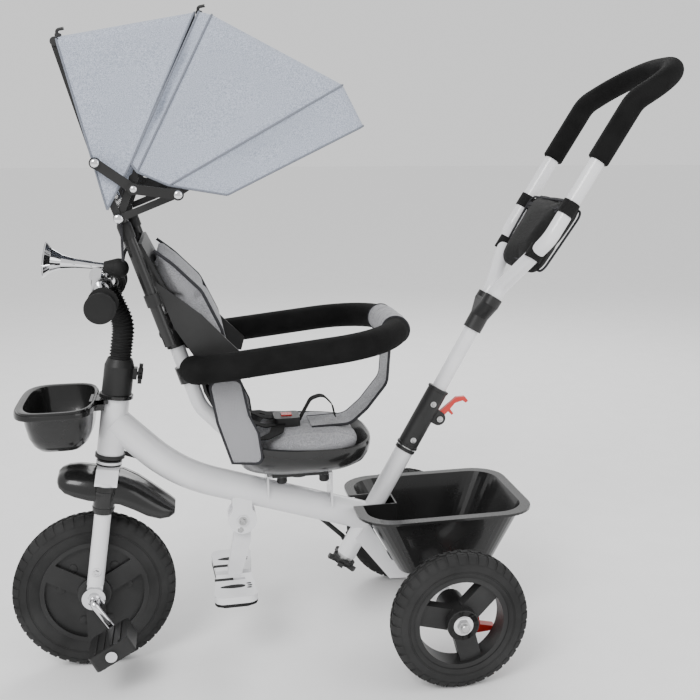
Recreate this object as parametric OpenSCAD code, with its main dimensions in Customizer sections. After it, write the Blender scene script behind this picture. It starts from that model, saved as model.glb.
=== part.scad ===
// Children's tricycle with a parent push handle, a swivel seat and a folding canopy.
// Forward is -X, the rider's left at rest is -Y for someone facing forward, +Z is up.
// The tyres stand on z = 0 and y = 0 is the middle plane.

/* [Wheels] */
// Outer diameter of the front tyre
front_tyre_d = 254; // [230:1:290]
// Width of the front tyre
front_tyre_w = 46; // [38:1:52]
// Outer diameter of a rear tyre
rear_tyre_d = 218; // [200:1:240]
// Width of a rear tyre
rear_tyre_w = 44; // [36:1:50]
// Diameter on which the front tyre sits
front_rim_d = 168; // [140:1:190]
// Diameter on which a rear tyre sits
rear_rim_d = 150; // [120:1:165]
// Distance between the front and the rear axle
wheelbase = 556; // [520:1:660]
// Distance between the middle planes of the rear wheels
track = 418; // [400:1:520]
// Diameter of the rear axle
axle_d = 12; // [10:0.5:14]

/* [Frame] */
// Lean of the steering axis, from upright
rake = 8.5; // [4:0.5:14]
// Diameter of the head tube
head_d = 42; // [38:1:50]
// Length of the head tube
head_len = 92; // [80:1:110]
// Diameter of the main tube
main_d = 48; // [40:1:54]
// Slope of the rear run of the main tube
main_rise = 17.8; // [12:0.2:20]
// Slope of the front run of the main tube
main_drop = 45; // [40:1:52]
// Outer diameter of the handle socket
socket_d = 32; // [31:0.5:36]
// Length of the handle socket
socket_len = 212; // [180:1:240]
// Slope of the push handle
handle_tilt = 60; // [56:0.5:66]

/* [Fork and handlebar] */
// Diameter of a fork leg
leg_d = 26; // [22:1:30]
// Gap between the tyre and a fork leg
leg_gap = 4; // [3:0.5:10]
// Diameter of the steerer tube
steerer_d = 26; // [22:1:30]
// Diameter of the handlebar tube
bar_d = 22; // [19:1:25]
// Half of the handlebar width
bar_half = 168; // [150:1:180]
// Diameter of a grip
grip_d = 33; // [28:1:36]
// Crank radius
crank_r = 58; // [50:1:66]
// Diameter of the crank rod
crank_d = 12; // [10:0.5:13]
// Direction of the left crank arm, below level and to the rear
crank_angle = 58; // [0:1:90]

/* [Push handle] */
// Outer diameter of the tube that turns in the socket
turn_d = 28; // [27.5:0.5:29]
// Diameter of the sliding handle tube and of the bow
handle_d = 25; // [22:0.5:26]
// Half of the distance between the bow's two arms
bow_half = 103; // [90:1:120]
// Diameter of the foam on the bow
foam_d = 36; // [32:1:42]

/* [Seat] */
// Place of the swivel axis
seat_x = -113; // [-120:1:-100]
// Half of the seat pan's width
pan_half = 125; // [110:1:130]
// Diameter of the seat tube
seat_tube_d = 24; // [20:1:26]
// Lean of the seat back, from upright
back_lean = 18; // [14:1:24]
// Half of the bumper bar's width
bumper_half = 150; // [145:1:165]
// Diameter of the bumper bar's foam
bumper_d = 42; // [34:1:46]

/* [Canopy] */
// Half of the canopy's inner width
canopy_half = 152; // [150:1:170]
// Reach of the rear bow from its pivot
rear_reach = 255; // [230:1:280]
// Reach of the middle bow from its pivot
mid_reach = 305; // [290:1:330]
// Reach of the front bow from its pivot
front_reach = 367; // [350:1:400]
// Thickness of the canopy cloth and its lining
cloth_t = 2.5; // [2:0.1:3]

/* [Fits] */
// Radial clearance of a turning or sliding fit
run_gap = 0.1; // [0.05:0.01:0.2]

/* [Hidden] */
$fn = 48;
hull_fn = 32;

rear_x = 110;
rear_z = rear_tyre_d / 2;
front_x = rear_x - wheelbase;
front_z = front_tyre_d / 2;

// Heights along the steering axis, from the front axle
crown_s = front_tyre_d / 2 + 60;
crown_h = 22;
arm_s = crown_s + crown_h + 3;
arm_t = 4;
head_s = arm_s + arm_t + 11.5;
cup_h = 6;
collar_s = head_s + head_len + cup_h + 0.5;
collar_h = 57;
neck_s = collar_s + collar_h + 56;
bar_s = neck_s + 72;
bar_lead = 42;
grip_lead = -29;
grip_s = bar_s - 26;
leg_y = front_tyre_w / 2 + leg_gap + leg_d / 2;
leg_s = 23;
steer_lever = 36;
link_pin_d = 8;

// Push handle, measured along its axis from the socket's lower end
stub_x = -34;
stub_z = 144;
junction_a = 76;
turn_a = -6;
turn_top = 300;
clamp_a = socket_len + 2;
clamp_len = 114;
clamp_d = 35;
y_joint_a = clamp_a + clamp_len + 115;
y_joint_len = 64;
bow_kink = 2.5;
lever_a = clamp_a + 68;
lever_e = clamp_d / 2 + 4;

function unit(v) = v / norm(v);
function steer_point(x, y, s) = [front_x + x * cos(rake) + s * sin(rake), y,
    front_z - x * sin(rake) + s * cos(rake)];
function handle_point(e, y, a) = [stub_x + e * sin(handle_tilt) + a * cos(handle_tilt), y,
    stub_z - e * cos(handle_tilt) + a * sin(handle_tilt)];
function main_z(x) = junction.z + (junction.x - x) * tan(main_rise);

junction = handle_point(0, 0, junction_a);
head_mid = steer_point(0, 0, head_s + head_len / 2 + 8);
vertex_x = (head_mid.z + head_mid.x * tan(main_drop) - junction.z - junction.x * tan(main_rise))
    / (tan(main_drop) - tan(main_rise));
main_vertex = [vertex_x, 0, main_z(vertex_x)];

// Seat heights
swivel_z = main_z(seat_x) + main_d / 2 + 30;
plate_t = 3;
pan_z = swivel_z + 17;
rim_z = pan_z + 32;

tube_z = swivel_z + seat_tube_d / 2 + 0.8;
pan_floor = 9;

// Line of the seat back, up which the seat tube leans
tube_foot = [seat_x - 119, 0, pan_z - seat_tube_d / 2 - 1];
function back_point(x, y, rise) = [tube_foot.x + x * cos(back_lean) - rise * tan(back_lean), y,
    tube_foot.z + x * sin(back_lean) + rise];
tube_rise = 262;
post_y = 118;
rail_d = 20;
pivot = back_point(-1, 0, 430);

module on_axes(o, x, y, z) {
    multmatrix([[x.x, y.x, z.x, o.x], [x.y, y.y, z.y, o.y], [x.z, y.z, z.z, o.z], [0, 0, 0, 1]])
        children();
}

module along(a, b) {
    z = unit(b - a);
    side = abs(z.y) > 0.9 ? [1, 0, 0] : [0, 1, 0];
    x = unit(cross(side, z));
    on_axes(a, x, cross(z, x), z) children();
}

module rod(a, b, d) {
    along(a, b) cylinder(d = d, h = norm(b - a));
}

// A bend is this much thicker than its tube, and laps over it
bend_swell = 0.1;
bend_lap = 0.8;

function turn(before, at, after) = acos(min(1, unit(at - before) * unit(after - at)));
function tangent(before, at, after, r) = r * tan(turn(before, at, after) / 2);

module elbow(before, at, after, d, r) {
    u = unit(at - before);
    w = unit(after - at);
    angle = turn(before, at, after);
    centre = at + unit(w - u) * r / cos(angle / 2);
    x = unit(at - u * tangent(before, at, after, r) - centre);
    z = unit(cross(u, w));
    on_axes(centre, x, cross(z, x), z) rotate_extrude(angle = angle)
        translate([r, 0]) circle(d = d + bend_swell);
}

// A round bar through the points, bent at each inner one to radius r, or to that point's own in a list
module bent_tube(points, d, r) {
    last = len(points) - 1;
    radii = is_list(r) ? r : [for (p = points) r];
    cuts = [for (i = [0:last]) i == 0 || i == last ? 0
        : tangent(points[i - 1], points[i], points[i + 1], radii[i]) - bend_lap];
    for (i = [0:last - 1]) {
        u = unit(points[i + 1] - points[i]);
        rod(points[i] + u * cuts[i], points[i + 1] - u * cuts[i + 1], d);
    }
    for (i = [1:1:last - 1]) elbow(points[i - 1], points[i], points[i + 1], d, radii[i]);
}

module spindle(x, z, y0, y1, d) {
    translate([x, y0, z]) rotate([-90, 0, 0]) cylinder(d = d, h = y1 - y0);
}

module slab(y0, y1, outline) {
    translate([0, y1, 0]) rotate([90, 0, 0]) linear_extrude(y1 - y0) polygon(outline);
}

// Sets the drawn parts so that x = 0 is the middle of the whole tricycle's box
box_shift = 16;

module place() {
    translate([box_shift, 0, 0]) children();
}

module both_sides() {
    children();
    mirror([0, 1, 0]) children();
}

module steer_frame() {
    translate([front_x, 0, front_z]) rotate([0, rake, 0]) children();
}

module handle_frame() {
    translate([stub_x, 0, stub_z]) rotate([0, 90 - handle_tilt, 0]) children();
}

module bow_frame() {
    handle_frame() translate([0, 0, y_joint_a + y_joint_len]) rotate([0, bow_kink, 0]) children();
}

// ---------------------------------------------------------------- frame

carrier_half = 20;
cross_tube_d = 30;
housing_y = track / 2 - rear_tyre_w / 2 - 37;
turn_bore = turn_d + 2 * run_gap;

module main_frame() {
    steer_bore = steerer_d + 2 * run_gap;
    color("white") difference() {
        union() {
            steer_frame() translate([0, 0, head_s]) cylinder(d = head_d, h = head_len);
            bent_tube([head_mid, main_vertex, junction], main_d, 250);
            handle_frame() cylinder(d = socket_d, h = socket_len);
            slab(-carrier_half, carrier_half, [[stub_x + 13, stub_z + 34], [stub_x + 35, stub_z + 62],
                [tub_floor_x0 - 4, tub_floor_z], [rear_x, tub_floor_z], [rear_x, rear_z - 12],
                [stub_x + 72, rear_z - 8]]);
            spindle(rear_x, rear_z, -housing_y, housing_y, cross_tube_d);
        }
        steer_frame() translate([0, 0, head_s - 5]) cylinder(d = steer_bore, h = head_len + 10);
        handle_frame() translate([0, 0, -5]) cylinder(d = turn_bore, h = socket_len + 10);
        spindle(rear_x, rear_z, -housing_y - 5, housing_y + 5, axle_d);
    }
}

hub_half = rear_tyre_w / 2 + 4;
axle_half = track / 2 + hub_half + 11;

module rear_axle() {
    color("silver") {
        spindle(rear_x, rear_z, -axle_half, axle_half, axle_d);
        both_sides() difference() {
            translate([rear_x, axle_half - 3, rear_z]) rotate([90, 0, 0])
                cylinder(d = 21, h = 7, $fn = 6);
            spindle(rear_x, rear_z, axle_half - 15, axle_half + 5, axle_d);
        }
    }
}

module brake_housings() {
    color("#202022") both_sides() difference() {
        union() {
            spindle(rear_x, rear_z, housing_y + 0.5, housing_y + 32, 46);
            slab(housing_y + 3, housing_y + 29, [[rear_x, rear_z + 18], [rear_x + 34, rear_z + 6],
                [rear_x + 38, rear_z - 10], [rear_x + 28, rear_z - 18], [rear_x, rear_z - 20]]);
        }
        spindle(rear_x, rear_z, housing_y - 5, housing_y + 40, axle_d);
        slab(housing_y + 6.7, housing_y + 25.3, [[rear_x + 24, rear_z + 20], [rear_x + 50, rear_z + 20],
            [rear_x + 50, rear_z - 30], [rear_x + 24, rear_z - 30]]);
    }
    color("#202022") both_sides()
        spindle(brake_pin.x, brake_pin.z, housing_y + 4, housing_y + 28, brake_pin_d);
}

// ---------------------------------------------------------------- baskets

module rounded_plate(x0, x1, half, r, h) {
    hull() for (x = [x0 + r, x1 - r], y = [-half + r, half - r])
        translate([x, y, 0]) cylinder(r = r, h = h, $fn = hull_fn);
}

module tub_shape(grow, floor_z, top_z) {
    hull() {
        translate([0, 0, floor_z]) rounded_plate(tub_floor_x0 - grow, tub_floor_x1 + grow,
            88 + grow, 34, 1);
        translate([0, 0, top_z]) rounded_plate(tub_rim_x0 - grow, tub_rim_x1 + grow,
            112 + grow, 48, 1);
    }
}

tub_wall = 2.6;
tub_floor_z = rear_z + cross_tube_d / 2 + 9;
tub_rim_z = tub_floor_z + 106;
tub_floor_x0 = stub_x + 80;
tub_floor_x1 = tub_floor_x0 + 158;
tub_rim_x0 = stub_x + 22;
tub_rim_x1 = tub_floor_x1 + 54;
notch_half = main_d / 2 + 3;

module rear_basket() {
    notch_x = handle_point(0, 0, (tub_rim_z - stub_z) / sin(handle_tilt)).x + socket_d / 2 + 10;
    module notch(grow, drop) {
        translate([tub_rim_x0 - 40, -notch_half - grow, tub_floor_z - drop])
            cube([notch_x - tub_rim_x0 + 40 + grow, 2 * (notch_half + grow), 150]);
    }
    color("#151516") difference() {
        union() {
            tub_shape(0, tub_floor_z, tub_rim_z - 1);
            translate([0, 0, tub_rim_z - 4])
                rounded_plate(tub_rim_x0 - 13, tub_rim_x1 + 13, 126, 58, 4);
        }
        difference() {
            tub_shape(-tub_wall, tub_floor_z + tub_wall, tub_rim_z + 1);
            notch(tub_wall, 5);
        }
        notch(0, 5);
    }
}

bucket_half = 92;
bucket_s = head_s + head_len + cup_h - 2;
ring_t = 11;

module front_basket() {
    rim = steer_point(0, 0, bucket_s);
    back_x = rim.x - head_d / 2 - 8;
    module bucket(grow, lift) {
        hull() {
            translate([back_x - 74, 0, rim.z - 72 + lift])
                rounded_plate(-8 - grow, 46 + grow, bucket_half - 34 + grow, 16, 1);
            translate([back_x - 100, 0, rim.z - 2 + lift / 2])
                rounded_plate(-8 - grow, 98 + grow, bucket_half + grow, 34, 1);
        }
    }
    color("#1a1a1c") {
        difference() {
            union() {
                bucket(0, 0);
                translate([back_x - 100, 0, rim.z - 4])
                    rounded_plate(-18, 100, bucket_half + 9, 40, 4);
            }
            bucket(-2.4, 2.4);
        }
        difference() {
            union() {
                steer_frame() translate([0, 0, head_s + head_len - ring_t])
                    cylinder(d = head_d + 10, h = ring_t);
                translate([back_x - 4, -16, rim.z - 24]) cube([24, 32, 20]);
            }
            steer_frame() translate([0, 0, bucket_s - 60]) cylinder(d = head_d, h = 80);
        }
    }
}

module headset_cups() {
    module cup(s) {
        translate([0, 0, s]) difference() {
            cylinder(d = head_d + 4, h = cup_h);
            translate([0, 0, -1]) cylinder(d = steerer_d + 2 * run_gap, h = cup_h + 2);
        }
    }
    color("#2a2a2c") steer_frame() {
        cup(head_s - cup_h);
        cup(head_s + head_len);
    }
}

// ---------------------------------------------------------------- seat and footrest brackets

bracket_half_x = 54;
bracket_half_y = 28;
swivel_pin_d = 20;

module seat_bracket() {
    leg_h = 60;
    color("white") difference() {
        union() {
            translate([seat_x - bracket_half_x, -bracket_half_y, swivel_z - plate_t])
                cube([2 * bracket_half_x, 2 * bracket_half_y, plate_t]);
            for (x = [seat_x - bracket_half_x, seat_x + bracket_half_x - plate_t])
                translate([x, -bracket_half_y, swivel_z - leg_h])
                    cube([plate_t, 2 * bracket_half_y, leg_h]);
        }
        rod([main_vertex.x, 0, main_z(main_vertex.x)], junction, main_d);
        slab(-40, 40, [[seat_x - 80, main_z(seat_x - 80)], [seat_x + 80, main_z(seat_x + 80)],
            [seat_x + 80, 0], [seat_x - 80, 0]]);
        translate([seat_x, 0, swivel_z - 10]) cylinder(d = swivel_pin_d + 2 * run_gap, h = 20);
    }
}

rest_x = -208;
rest_pin_d = 10;
ear_y = 14;
rest_hinge_z = main_z(rest_x) - main_d / 2 - 26;

module footrest_bracket() {
    color("white") difference() {
        both_sides() translate([rest_x, ear_y, rest_hinge_z]) {
            rotate([-90, 0, 0]) cylinder(d = 46, h = 7);
            translate([-16, 0, 0]) cube([32, 7, 40]);
        }
        rod([main_vertex.x, 0, main_z(main_vertex.x)], junction, main_d);
        spindle(rest_x, rest_hinge_z, -30, 30, rest_pin_d + 2 * run_gap);
    }
}

module footrest() {
    leg_len = 98;
    color("white") {
        spindle(rest_x, rest_hinge_z, 0.4 - ear_y, ear_y - 0.4, 40);
        spindle(rest_x, rest_hinge_z, -ear_y - 10, ear_y + 10, rest_pin_d);
        both_sides() spindle(rest_x, rest_hinge_z, ear_y + 7.4, ear_y + 10, 18);
        difference() {
            hull() {
                translate([rest_x - 13, -10, rest_hinge_z - 40]) cube([26, 20, 20]);
                translate([rest_x - 26, -10, rest_hinge_z - leg_len]) cube([22, 20, 8]);
            }
            spindle(rest_x, rest_hinge_z, -30, 30, 40);
        }
        both_sides() difference() {
            translate([rest_x - 17, 0, rest_hinge_z - leg_len - 12]) hull() {
                translate([-29, 8, 0]) cube([58, 10, 13]);
                translate([-18, 84, 2]) cylinder(r = 16, h = 11, $fn = hull_fn);
                translate([18, 84, 2]) cylinder(r = 16, h = 11, $fn = hull_fn);
            }
            translate([rest_x - 34, 24, rest_hinge_z - leg_len - 20]) cube([34, 9, 40]);
        }
    }
}

// ---------------------------------------------------------------- fork, fender and stem

dropout_t = 4;
ring_d = 36;
crank_y = leg_y + leg_d / 2 + crank_d / 2 + 2;

module fork() {
    color("white") steer_frame() {
        translate([0, 0, crown_s + crown_h - 1])
            cylinder(d = steerer_d, h = collar_s + collar_h - crown_s - crown_h + 1);
        difference() {
            translate([-17, -leg_y - 10, crown_s]) cube([34, 2 * leg_y + 20, crown_h]);
            both_sides() translate([0, leg_y + 10, crown_s - 1])
                rotate([45, 0, 0]) translate([-20, 4, 2]) cube([40, 30, 30]);
        }
        both_sides() translate([0, leg_y, leg_s]) cylinder(d = leg_d, h = crown_s - leg_s + 4);
        difference() {
            translate([0, 0, arm_s]) union() {
                cylinder(d = steerer_d + 14, h = arm_t);
                translate([-9, 0, 0]) cube([18, steer_lever, arm_t]);
                translate([0, steer_lever, 0]) cylinder(d = 18, h = arm_t);
            }
            translate([0, 0, arm_s - 5]) cylinder(d = steerer_d, h = 20);
        }
        translate([0, steer_lever, arm_s + arm_t - 0.5]) cylinder(d = link_pin_d, h = 9);
        translate([0, steer_lever, arm_s + arm_t + 8]) cylinder(d = 13, h = 2.5);
    }
}

module fork_dropouts() {
    color("silver") steer_frame() both_sides() {
        difference() {
            union() {
                translate([-12, leg_y - dropout_t / 2, 8]) cube([24, dropout_t, leg_s - 8]);
                translate([0, leg_y + 6, 0]) rotate([90, 0, 0]) cylinder(d = ring_d, h = 12);
            }
            translate([0, leg_y + 20, 0]) rotate([90, 0, 0])
                cylinder(d = crank_d + 2 * run_gap, h = 40);
        }
    }
}

module front_fender() {
    color("#1c1c1e") steer_frame() difference() {
        union() {
            hull() {
                translate([-72, -26, crown_s + 12]) cube([6, 52, 4]);
                translate([-18, -38, crown_s - 16]) cube([6, 76, 30]);
            }
            hull() {
                translate([14, -38, crown_s - 18]) cube([6, 76, 28]);
                translate([104, -28, crown_s - 46]) cube([6, 56, 6]);
            }
            translate([-18, -38, crown_s - 18]) cube([38, 76, 6]);
            both_sides() translate([0, leg_y, crown_s - 44]) cylinder(d = leg_d + 7, h = 42);
        }
        translate([-17, -leg_y - 10, crown_s]) cube([34, 2 * leg_y + 20, crown_h]);
        both_sides() translate([0, leg_y, crown_s - 60]) cylinder(d = leg_d, h = 80);
    }
}

module stem_collar() {
    color("#1a1a1c") steer_frame() difference() {
        union() {
            translate([0, 0, collar_s]) cylinder(d = 46, h = collar_h - 12);
            translate([0, 0, collar_s + collar_h - 12]) cylinder(d1 = 46, d2 = 38, h = 12);
            translate([0, -8, collar_s + 26]) cube([28, 16, 18]);
        }
        translate([0, 0, collar_s - 1]) cylinder(d = steerer_d, h = collar_h + 2);
        translate([20, 0, collar_s + 35]) rotate([0, 90, 0]) cylinder(d = 6 + 2 * run_gap, h = 30);
    }
}

module stem_knob() {
    color("#151516") steer_frame() translate([20, 0, collar_s + 35]) rotate([0, 90, 0]) {
        translate([0, 0, 0.5]) cylinder(d = 6, h = 12);
        translate([0, 0, 9]) {
            cylinder(d = 18, h = 8);
            for (k = [0:2]) rotate([0, 0, 60 * k])
                translate([-16, -3.5, 1]) cube([32, 7, 6]);
        }
    }
}

stem_bend_r = 60;

module stem_path(d, from_s, to_s) {
    low = steer_point(0, 0, from_s);
    mid = steer_point(0, 0, neck_s);
    high = steer_point(-bar_lead * to_s, 0, neck_s + (bar_s - neck_s) * to_s);
    bent_tube([low, mid, high], d, stem_bend_r);
}

module stem_bellows() {
    rib_pitch = 5;
    ribs_low = floor((neck_s - 34 - collar_s - collar_h) / rib_pitch);
    color("#202022") difference() {
        union() {
            stem_path(31, collar_s + collar_h + 0.3, 0.72);
            steer_frame() for (k = [0:ribs_low])
                translate([0, 0, collar_s + collar_h + 1 + k * rib_pitch]) cylinder(d = 35, h = 2.6);
        }
        stem_path(bar_d, collar_s, 0.9);
    }
}

module handlebar() {
    color("silver") {
        stem_path(bar_d, collar_s + collar_h, 0.85);
        rod(steer_point(-bar_lead, -17, bar_s), steer_point(-bar_lead, 17, bar_s), bar_d + 10);
        bent_tube([steer_point(grip_lead, -bar_half, grip_s), steer_point(grip_lead, -92, grip_s),
            steer_point(-bar_lead, -36, bar_s), steer_point(-bar_lead, 36, bar_s),
            steer_point(grip_lead, 92, grip_s), steer_point(grip_lead, bar_half, grip_s)], bar_d, 40);
    }
}

module handlebar_grips() {
    color("#151516") for (side = [-1, 1]) difference() {
        union() {
            rod(steer_point(grip_lead, side * 103, grip_s),
                steer_point(grip_lead, side * (bar_half + 3), grip_s), grip_d);
            for (y = [105, bar_half - 4]) rod(steer_point(grip_lead, side * y, grip_s),
                steer_point(grip_lead, side * (y + 6), grip_s), grip_d + 11);
        }
        rod(steer_point(grip_lead, side * 90, grip_s),
            steer_point(grip_lead, side * bar_half, grip_s), bar_d);
    }
}

horn_y = -60;
horn_s = bar_s + 21;

module horn_trumpet() {
    color("silver") steer_frame() {
        translate([0, horn_y, horn_s]) rotate([0, -90, 0]) {
            translate([0, 0, 52]) difference() {
                rotate_extrude() polygon([[0, 0], [6, 0], [7.5, 24], [11, 44], [18, 58], [27, 66],
                    [27, 67.5], [0, 67.5]]);
                translate([0, 0, 6]) rotate_extrude() polygon([[0, 0], [4, 0], [6, 20], [9.5, 40],
                    [16.5, 53], [25, 60], [25, 70], [0, 70]]);
            }
            translate([0, 0, 36]) cylinder(d = 11, h = 17);
        }
        difference() {
            union() {
                translate([-50, horn_y - 5, bar_s - 26]) cube([26, 10, 30]);
                translate([-50, horn_y - 5, bar_s]) cube([12, 10, 18]);
            }
            on_bar();
        }
    }
    module on_bar() {
        a = [-bar_lead, -36, bar_s];
        b = [grip_lead, -92, grip_s];
        rod(a - 0.3 * (b - a), b + 0.3 * (b - a), bar_d);
    }
}

module horn_bulb() {
    color("#101011") steer_frame() translate([0, horn_y, horn_s]) rotate([0, -90, 0]) {
        translate([0, 0, 14]) sphere(d = 30);
        translate([0, 0, 22]) cylinder(d1 = 26, d2 = 15, h = 14);
    }
}

// ---------------------------------------------------------------- front wheel, crank and pedals

module wheel_at(x, y, z) {
    translate([x, y, z]) rotate([90, 0, 0]) children();
}

module tyre_ring(d, w, seat_d, shoulder) {
    rotate_extrude() {
        translate([seat_d / 2, -w / 2]) square([(d - seat_d) / 2 - shoulder, w]);
        translate([seat_d / 2, shoulder - w / 2]) square([(d - seat_d) / 2, w - 2 * shoulder]);
        for (side = [-1, 1]) translate([d / 2 - shoulder, side * (w / 2 - shoulder)])
            circle(r = shoulder);
    }
}

module front_tyre() {
    color("#242425") wheel_at(front_x, 0, front_z) tyre_ring(front_tyre_d, front_tyre_w,
        front_rim_d, 14);
}

module front_rim() {
    disc_w = 26;
    color("#1b1b1c") wheel_at(front_x, 0, front_z) difference() {
        union() {
            cylinder(d = front_rim_d, h = front_tyre_w - 6, center = true);
            cylinder(d = 52, h = front_tyre_w + 2, center = true);
        }
        for (side = [-1, 1]) translate([0, 0, side * (disc_w / 2 + 20)]) difference() {
            cylinder(d = front_rim_d - 14, h = 40, center = true);
            cylinder(d = 52, h = 80, center = true);
            for (k = [0:2]) rotate([0, 0, 120 * k + 30]) translate([0, -15, -17])
                cube([front_rim_d / 2, 30, 18]);
        }
        cylinder(d = crank_d, h = 80, center = true);
    }
}

function crank_end(side) = [front_x - side * crank_r * cos(crank_angle), 0,
    front_z + side * crank_r * sin(crank_angle)];
crank_bend_r = 10;
pedal_start = crank_y + crank_bend_r + 2;
pedal_len = 71;

module crank() {
    tip_y = pedal_start + pedal_len + 4;
    left = crank_end(-1);
    right = crank_end(1);
    color("silver") {
        bent_tube([left - [0, tip_y, 0], left - [0, crank_y, 0], [front_x, -crank_y, front_z],
            [front_x, crank_y, front_z], right + [0, crank_y, 0], right + [0, tip_y, 0]],
            crank_d, crank_bend_r);
        for (side = [-1, 1]) rod(crank_end(side) + [0, side * (tip_y - 3.6), 0],
            crank_end(side) + [0, side * (tip_y + 1), 0], 17);
    }
}

module pedal(side) {
    end = crank_end(side);
    color("#1a1a1b") difference() {
        translate([end.x, 0, end.z]) rotate([0, -28, 0]) scale([1, side, 1]) {
            hull() for (x = [-24, 24], y = [pedal_start + 9, pedal_start + pedal_len - 9])
                translate([x, y, -13]) cylinder(r = 9, h = 26, $fn = hull_fn);
            for (x = [-20, -7, 7, 20]) translate([x - 2, pedal_start + 4, -15])
                cube([4, pedal_len - 8, 30]);
        }
        spindle(end.x, end.z, -track, track, crank_d + 2 * run_gap);
    }
}

module pedal_left() {
    pedal(-1);
}

module pedal_right() {
    pedal(1);
}

// ---------------------------------------------------------------- rear wheels and brake pedals

module rear_tyre(side) {
    color("#242425") wheel_at(rear_x, side * track / 2, rear_z)
        tyre_ring(rear_tyre_d, rear_tyre_w, rear_rim_d, 14);
}

module rear_rim(side) {
    rim_in = rear_rim_d - 16;
    color("#1b1b1c") wheel_at(rear_x, side * track / 2, rear_z) difference() {
        union() {
            difference() {
                cylinder(d = rear_rim_d, h = rear_tyre_w - 8, center = true);
                cylinder(d = rim_in, h = 90, center = true);
            }
            cylinder(d = 50, h = 2 * hub_half, center = true);
            for (k = [0:2]) rotate([0, 0, 120 * k + 45]) intersection() {
                translate([0, -17, -11]) cube([rim_in / 2 + 3, 34, 22]);
                cylinder(d = rim_in + 6, h = 40, center = true);
            }
        }
        cylinder(d = axle_d + 2 * run_gap, h = 90, center = true);
    }
}

module rear_tyre_left() {
    rear_tyre(-1);
}

module rear_tyre_right() {
    rear_tyre(1);
}

module rear_rim_left() {
    rear_rim(-1);
}

module rear_rim_right() {
    rear_rim(1);
}

brake_pin = [rear_x + 30, 0, rear_z - 4];
brake_pin_d = 6;

module brake_pedal(side) {
    color("red") difference() {
        scale([1, side, 1]) slab(housing_y + 8, housing_y + 24, [[brake_pin.x - 4, brake_pin.z + 6],
            [brake_pin.x + 9, brake_pin.z + 7], [brake_pin.x + 15, brake_pin.z - 28],
            [brake_pin.x + 40, brake_pin.z - 34], [brake_pin.x + 40, brake_pin.z - 40],
            [brake_pin.x + 8, brake_pin.z - 42], [brake_pin.x - 1, brake_pin.z - 14]]);
        spindle(brake_pin.x, brake_pin.z, -track, track, brake_pin_d + 2 * run_gap);
    }
}

module brake_pedal_left() {
    brake_pedal(-1);
}

module brake_pedal_right() {
    brake_pedal(1);
}

// ---------------------------------------------------------------- push handle and its linkage

module steering_tube() {
    color("gray") handle_frame() difference() {
        translate([0, 0, turn_a]) cylinder(d = turn_d, h = turn_top - turn_a);
        translate([0, 0, turn_a - 1]) cylinder(d = handle_d + 2 * run_gap, h = turn_top - turn_a + 2);
    }
}

module handle_clamp() {
    color("#151516") handle_frame() difference() {
        union() {
            translate([0, 0, clamp_a]) cylinder(d = clamp_d, h = clamp_len);
            translate([0, -9, lever_a - 12]) cube([lever_e + 3, 18, 24]);
            translate([lever_e + 2, -9, lever_a]) rotate([-90, 0, 0]) cylinder(d = 24, h = 18);
        }
        translate([0, 0, clamp_a - 1]) cylinder(d = turn_d, h = turn_top - clamp_a + 1);
        translate([0, 0, turn_top - 1]) cylinder(d = handle_d + 2 * run_gap, h = 100);
        translate([lever_e - 5, -5, lever_a - 20]) cube([40, 10, 50]);
        translate([lever_e + 2, -20, lever_a]) rotate([-90, 0, 0]) cylinder(d = 6, h = 40);
    }
}

module release_lever() {
    pin_gap = 2 * run_gap;
    color("red") handle_frame() translate([lever_e + 2, 0, lever_a]) {
        rotate([-90, 0, 0]) translate([0, 0, -11]) cylinder(d = 6 - pin_gap, h = 22);
        slab(-4, 4, [[-4, -4], [4, -5], [11, 20], [14, 36], [24, 46], [31, 45], [33, 50], [24, 54],
            [11, 46], [5, 30], [-4, 8]]);
        slab(-3, 3, [[9, 18], [20, 15], [21, 19], [10, 24]]);
    }
}

rear_pin_a = 14;

module handle_arm() {
    color("#202022") handle_frame() {
        translate([0, 0, turn_a - 6]) cylinder(d = socket_d + 8, h = 6);
        translate([-10, 0, turn_a - 6]) cube([20, steer_lever, 6]);
        translate([0, steer_lever, turn_a - 6]) cylinder(d = 20, h = 6);
        for (k = [0:4]) rotate([0, 0, 72 * k + 36])
            translate([10, -5, turn_a - 12]) cube([16, 10, 7]);
        translate([0, 0, turn_a - 12]) cylinder(d = 26, h = 7);
        translate([0, steer_lever, turn_a - 1]) cylinder(d = link_pin_d, h = rear_pin_a + 17);
        translate([0, steer_lever, turn_a + rear_pin_a + 15]) cylinder(d = 15, h = 3);
    }
}

rod_d = 8;
eye_t = 6;
front_eye = [0, steer_lever, arm_s + arm_t + 2.5];

module steering_rod() {
    ends_clear = 1.3;
    front = steer_point(0, steer_lever, arm_s + arm_t + 6.3);
    rear = handle_point(0, steer_lever, rear_pin_a);
    low = [-112, steer_lever, main_z(-112) - 9];
    start = front + 9 * unit(low - front);
    finish = rear + 9 * unit(low - rear);
    color("#202022") {
        bent_tube([start, low, finish], rod_d, 40);
        difference() {
            steer_frame() translate(front_eye) cylinder(d = 18, h = 5);
            steer_frame() translate(front_eye + [0, 0, -5])
                cylinder(d = link_pin_d + 2 * run_gap, h = 20);
        }
        difference() {
            handle_frame() translate([0, steer_lever, rear_pin_a - eye_t / 2])
                cylinder(d = 20, h = eye_t);
            handle_frame() translate([0, steer_lever, rear_pin_a - 20])
                cylinder(d = link_pin_d + 2 * ends_clear, h = 40);
        }
    }
}

module handle_tube() {
    color("white") handle_frame() difference() {
        translate([0, 0, 190]) cylinder(d = handle_d, h = y_joint_a + 18 - 190);
        translate([0, 0, 189]) cylinder(d = handle_d - 3, h = y_joint_a + 30 - 190);
    }
}

bow_root = 19;

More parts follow.
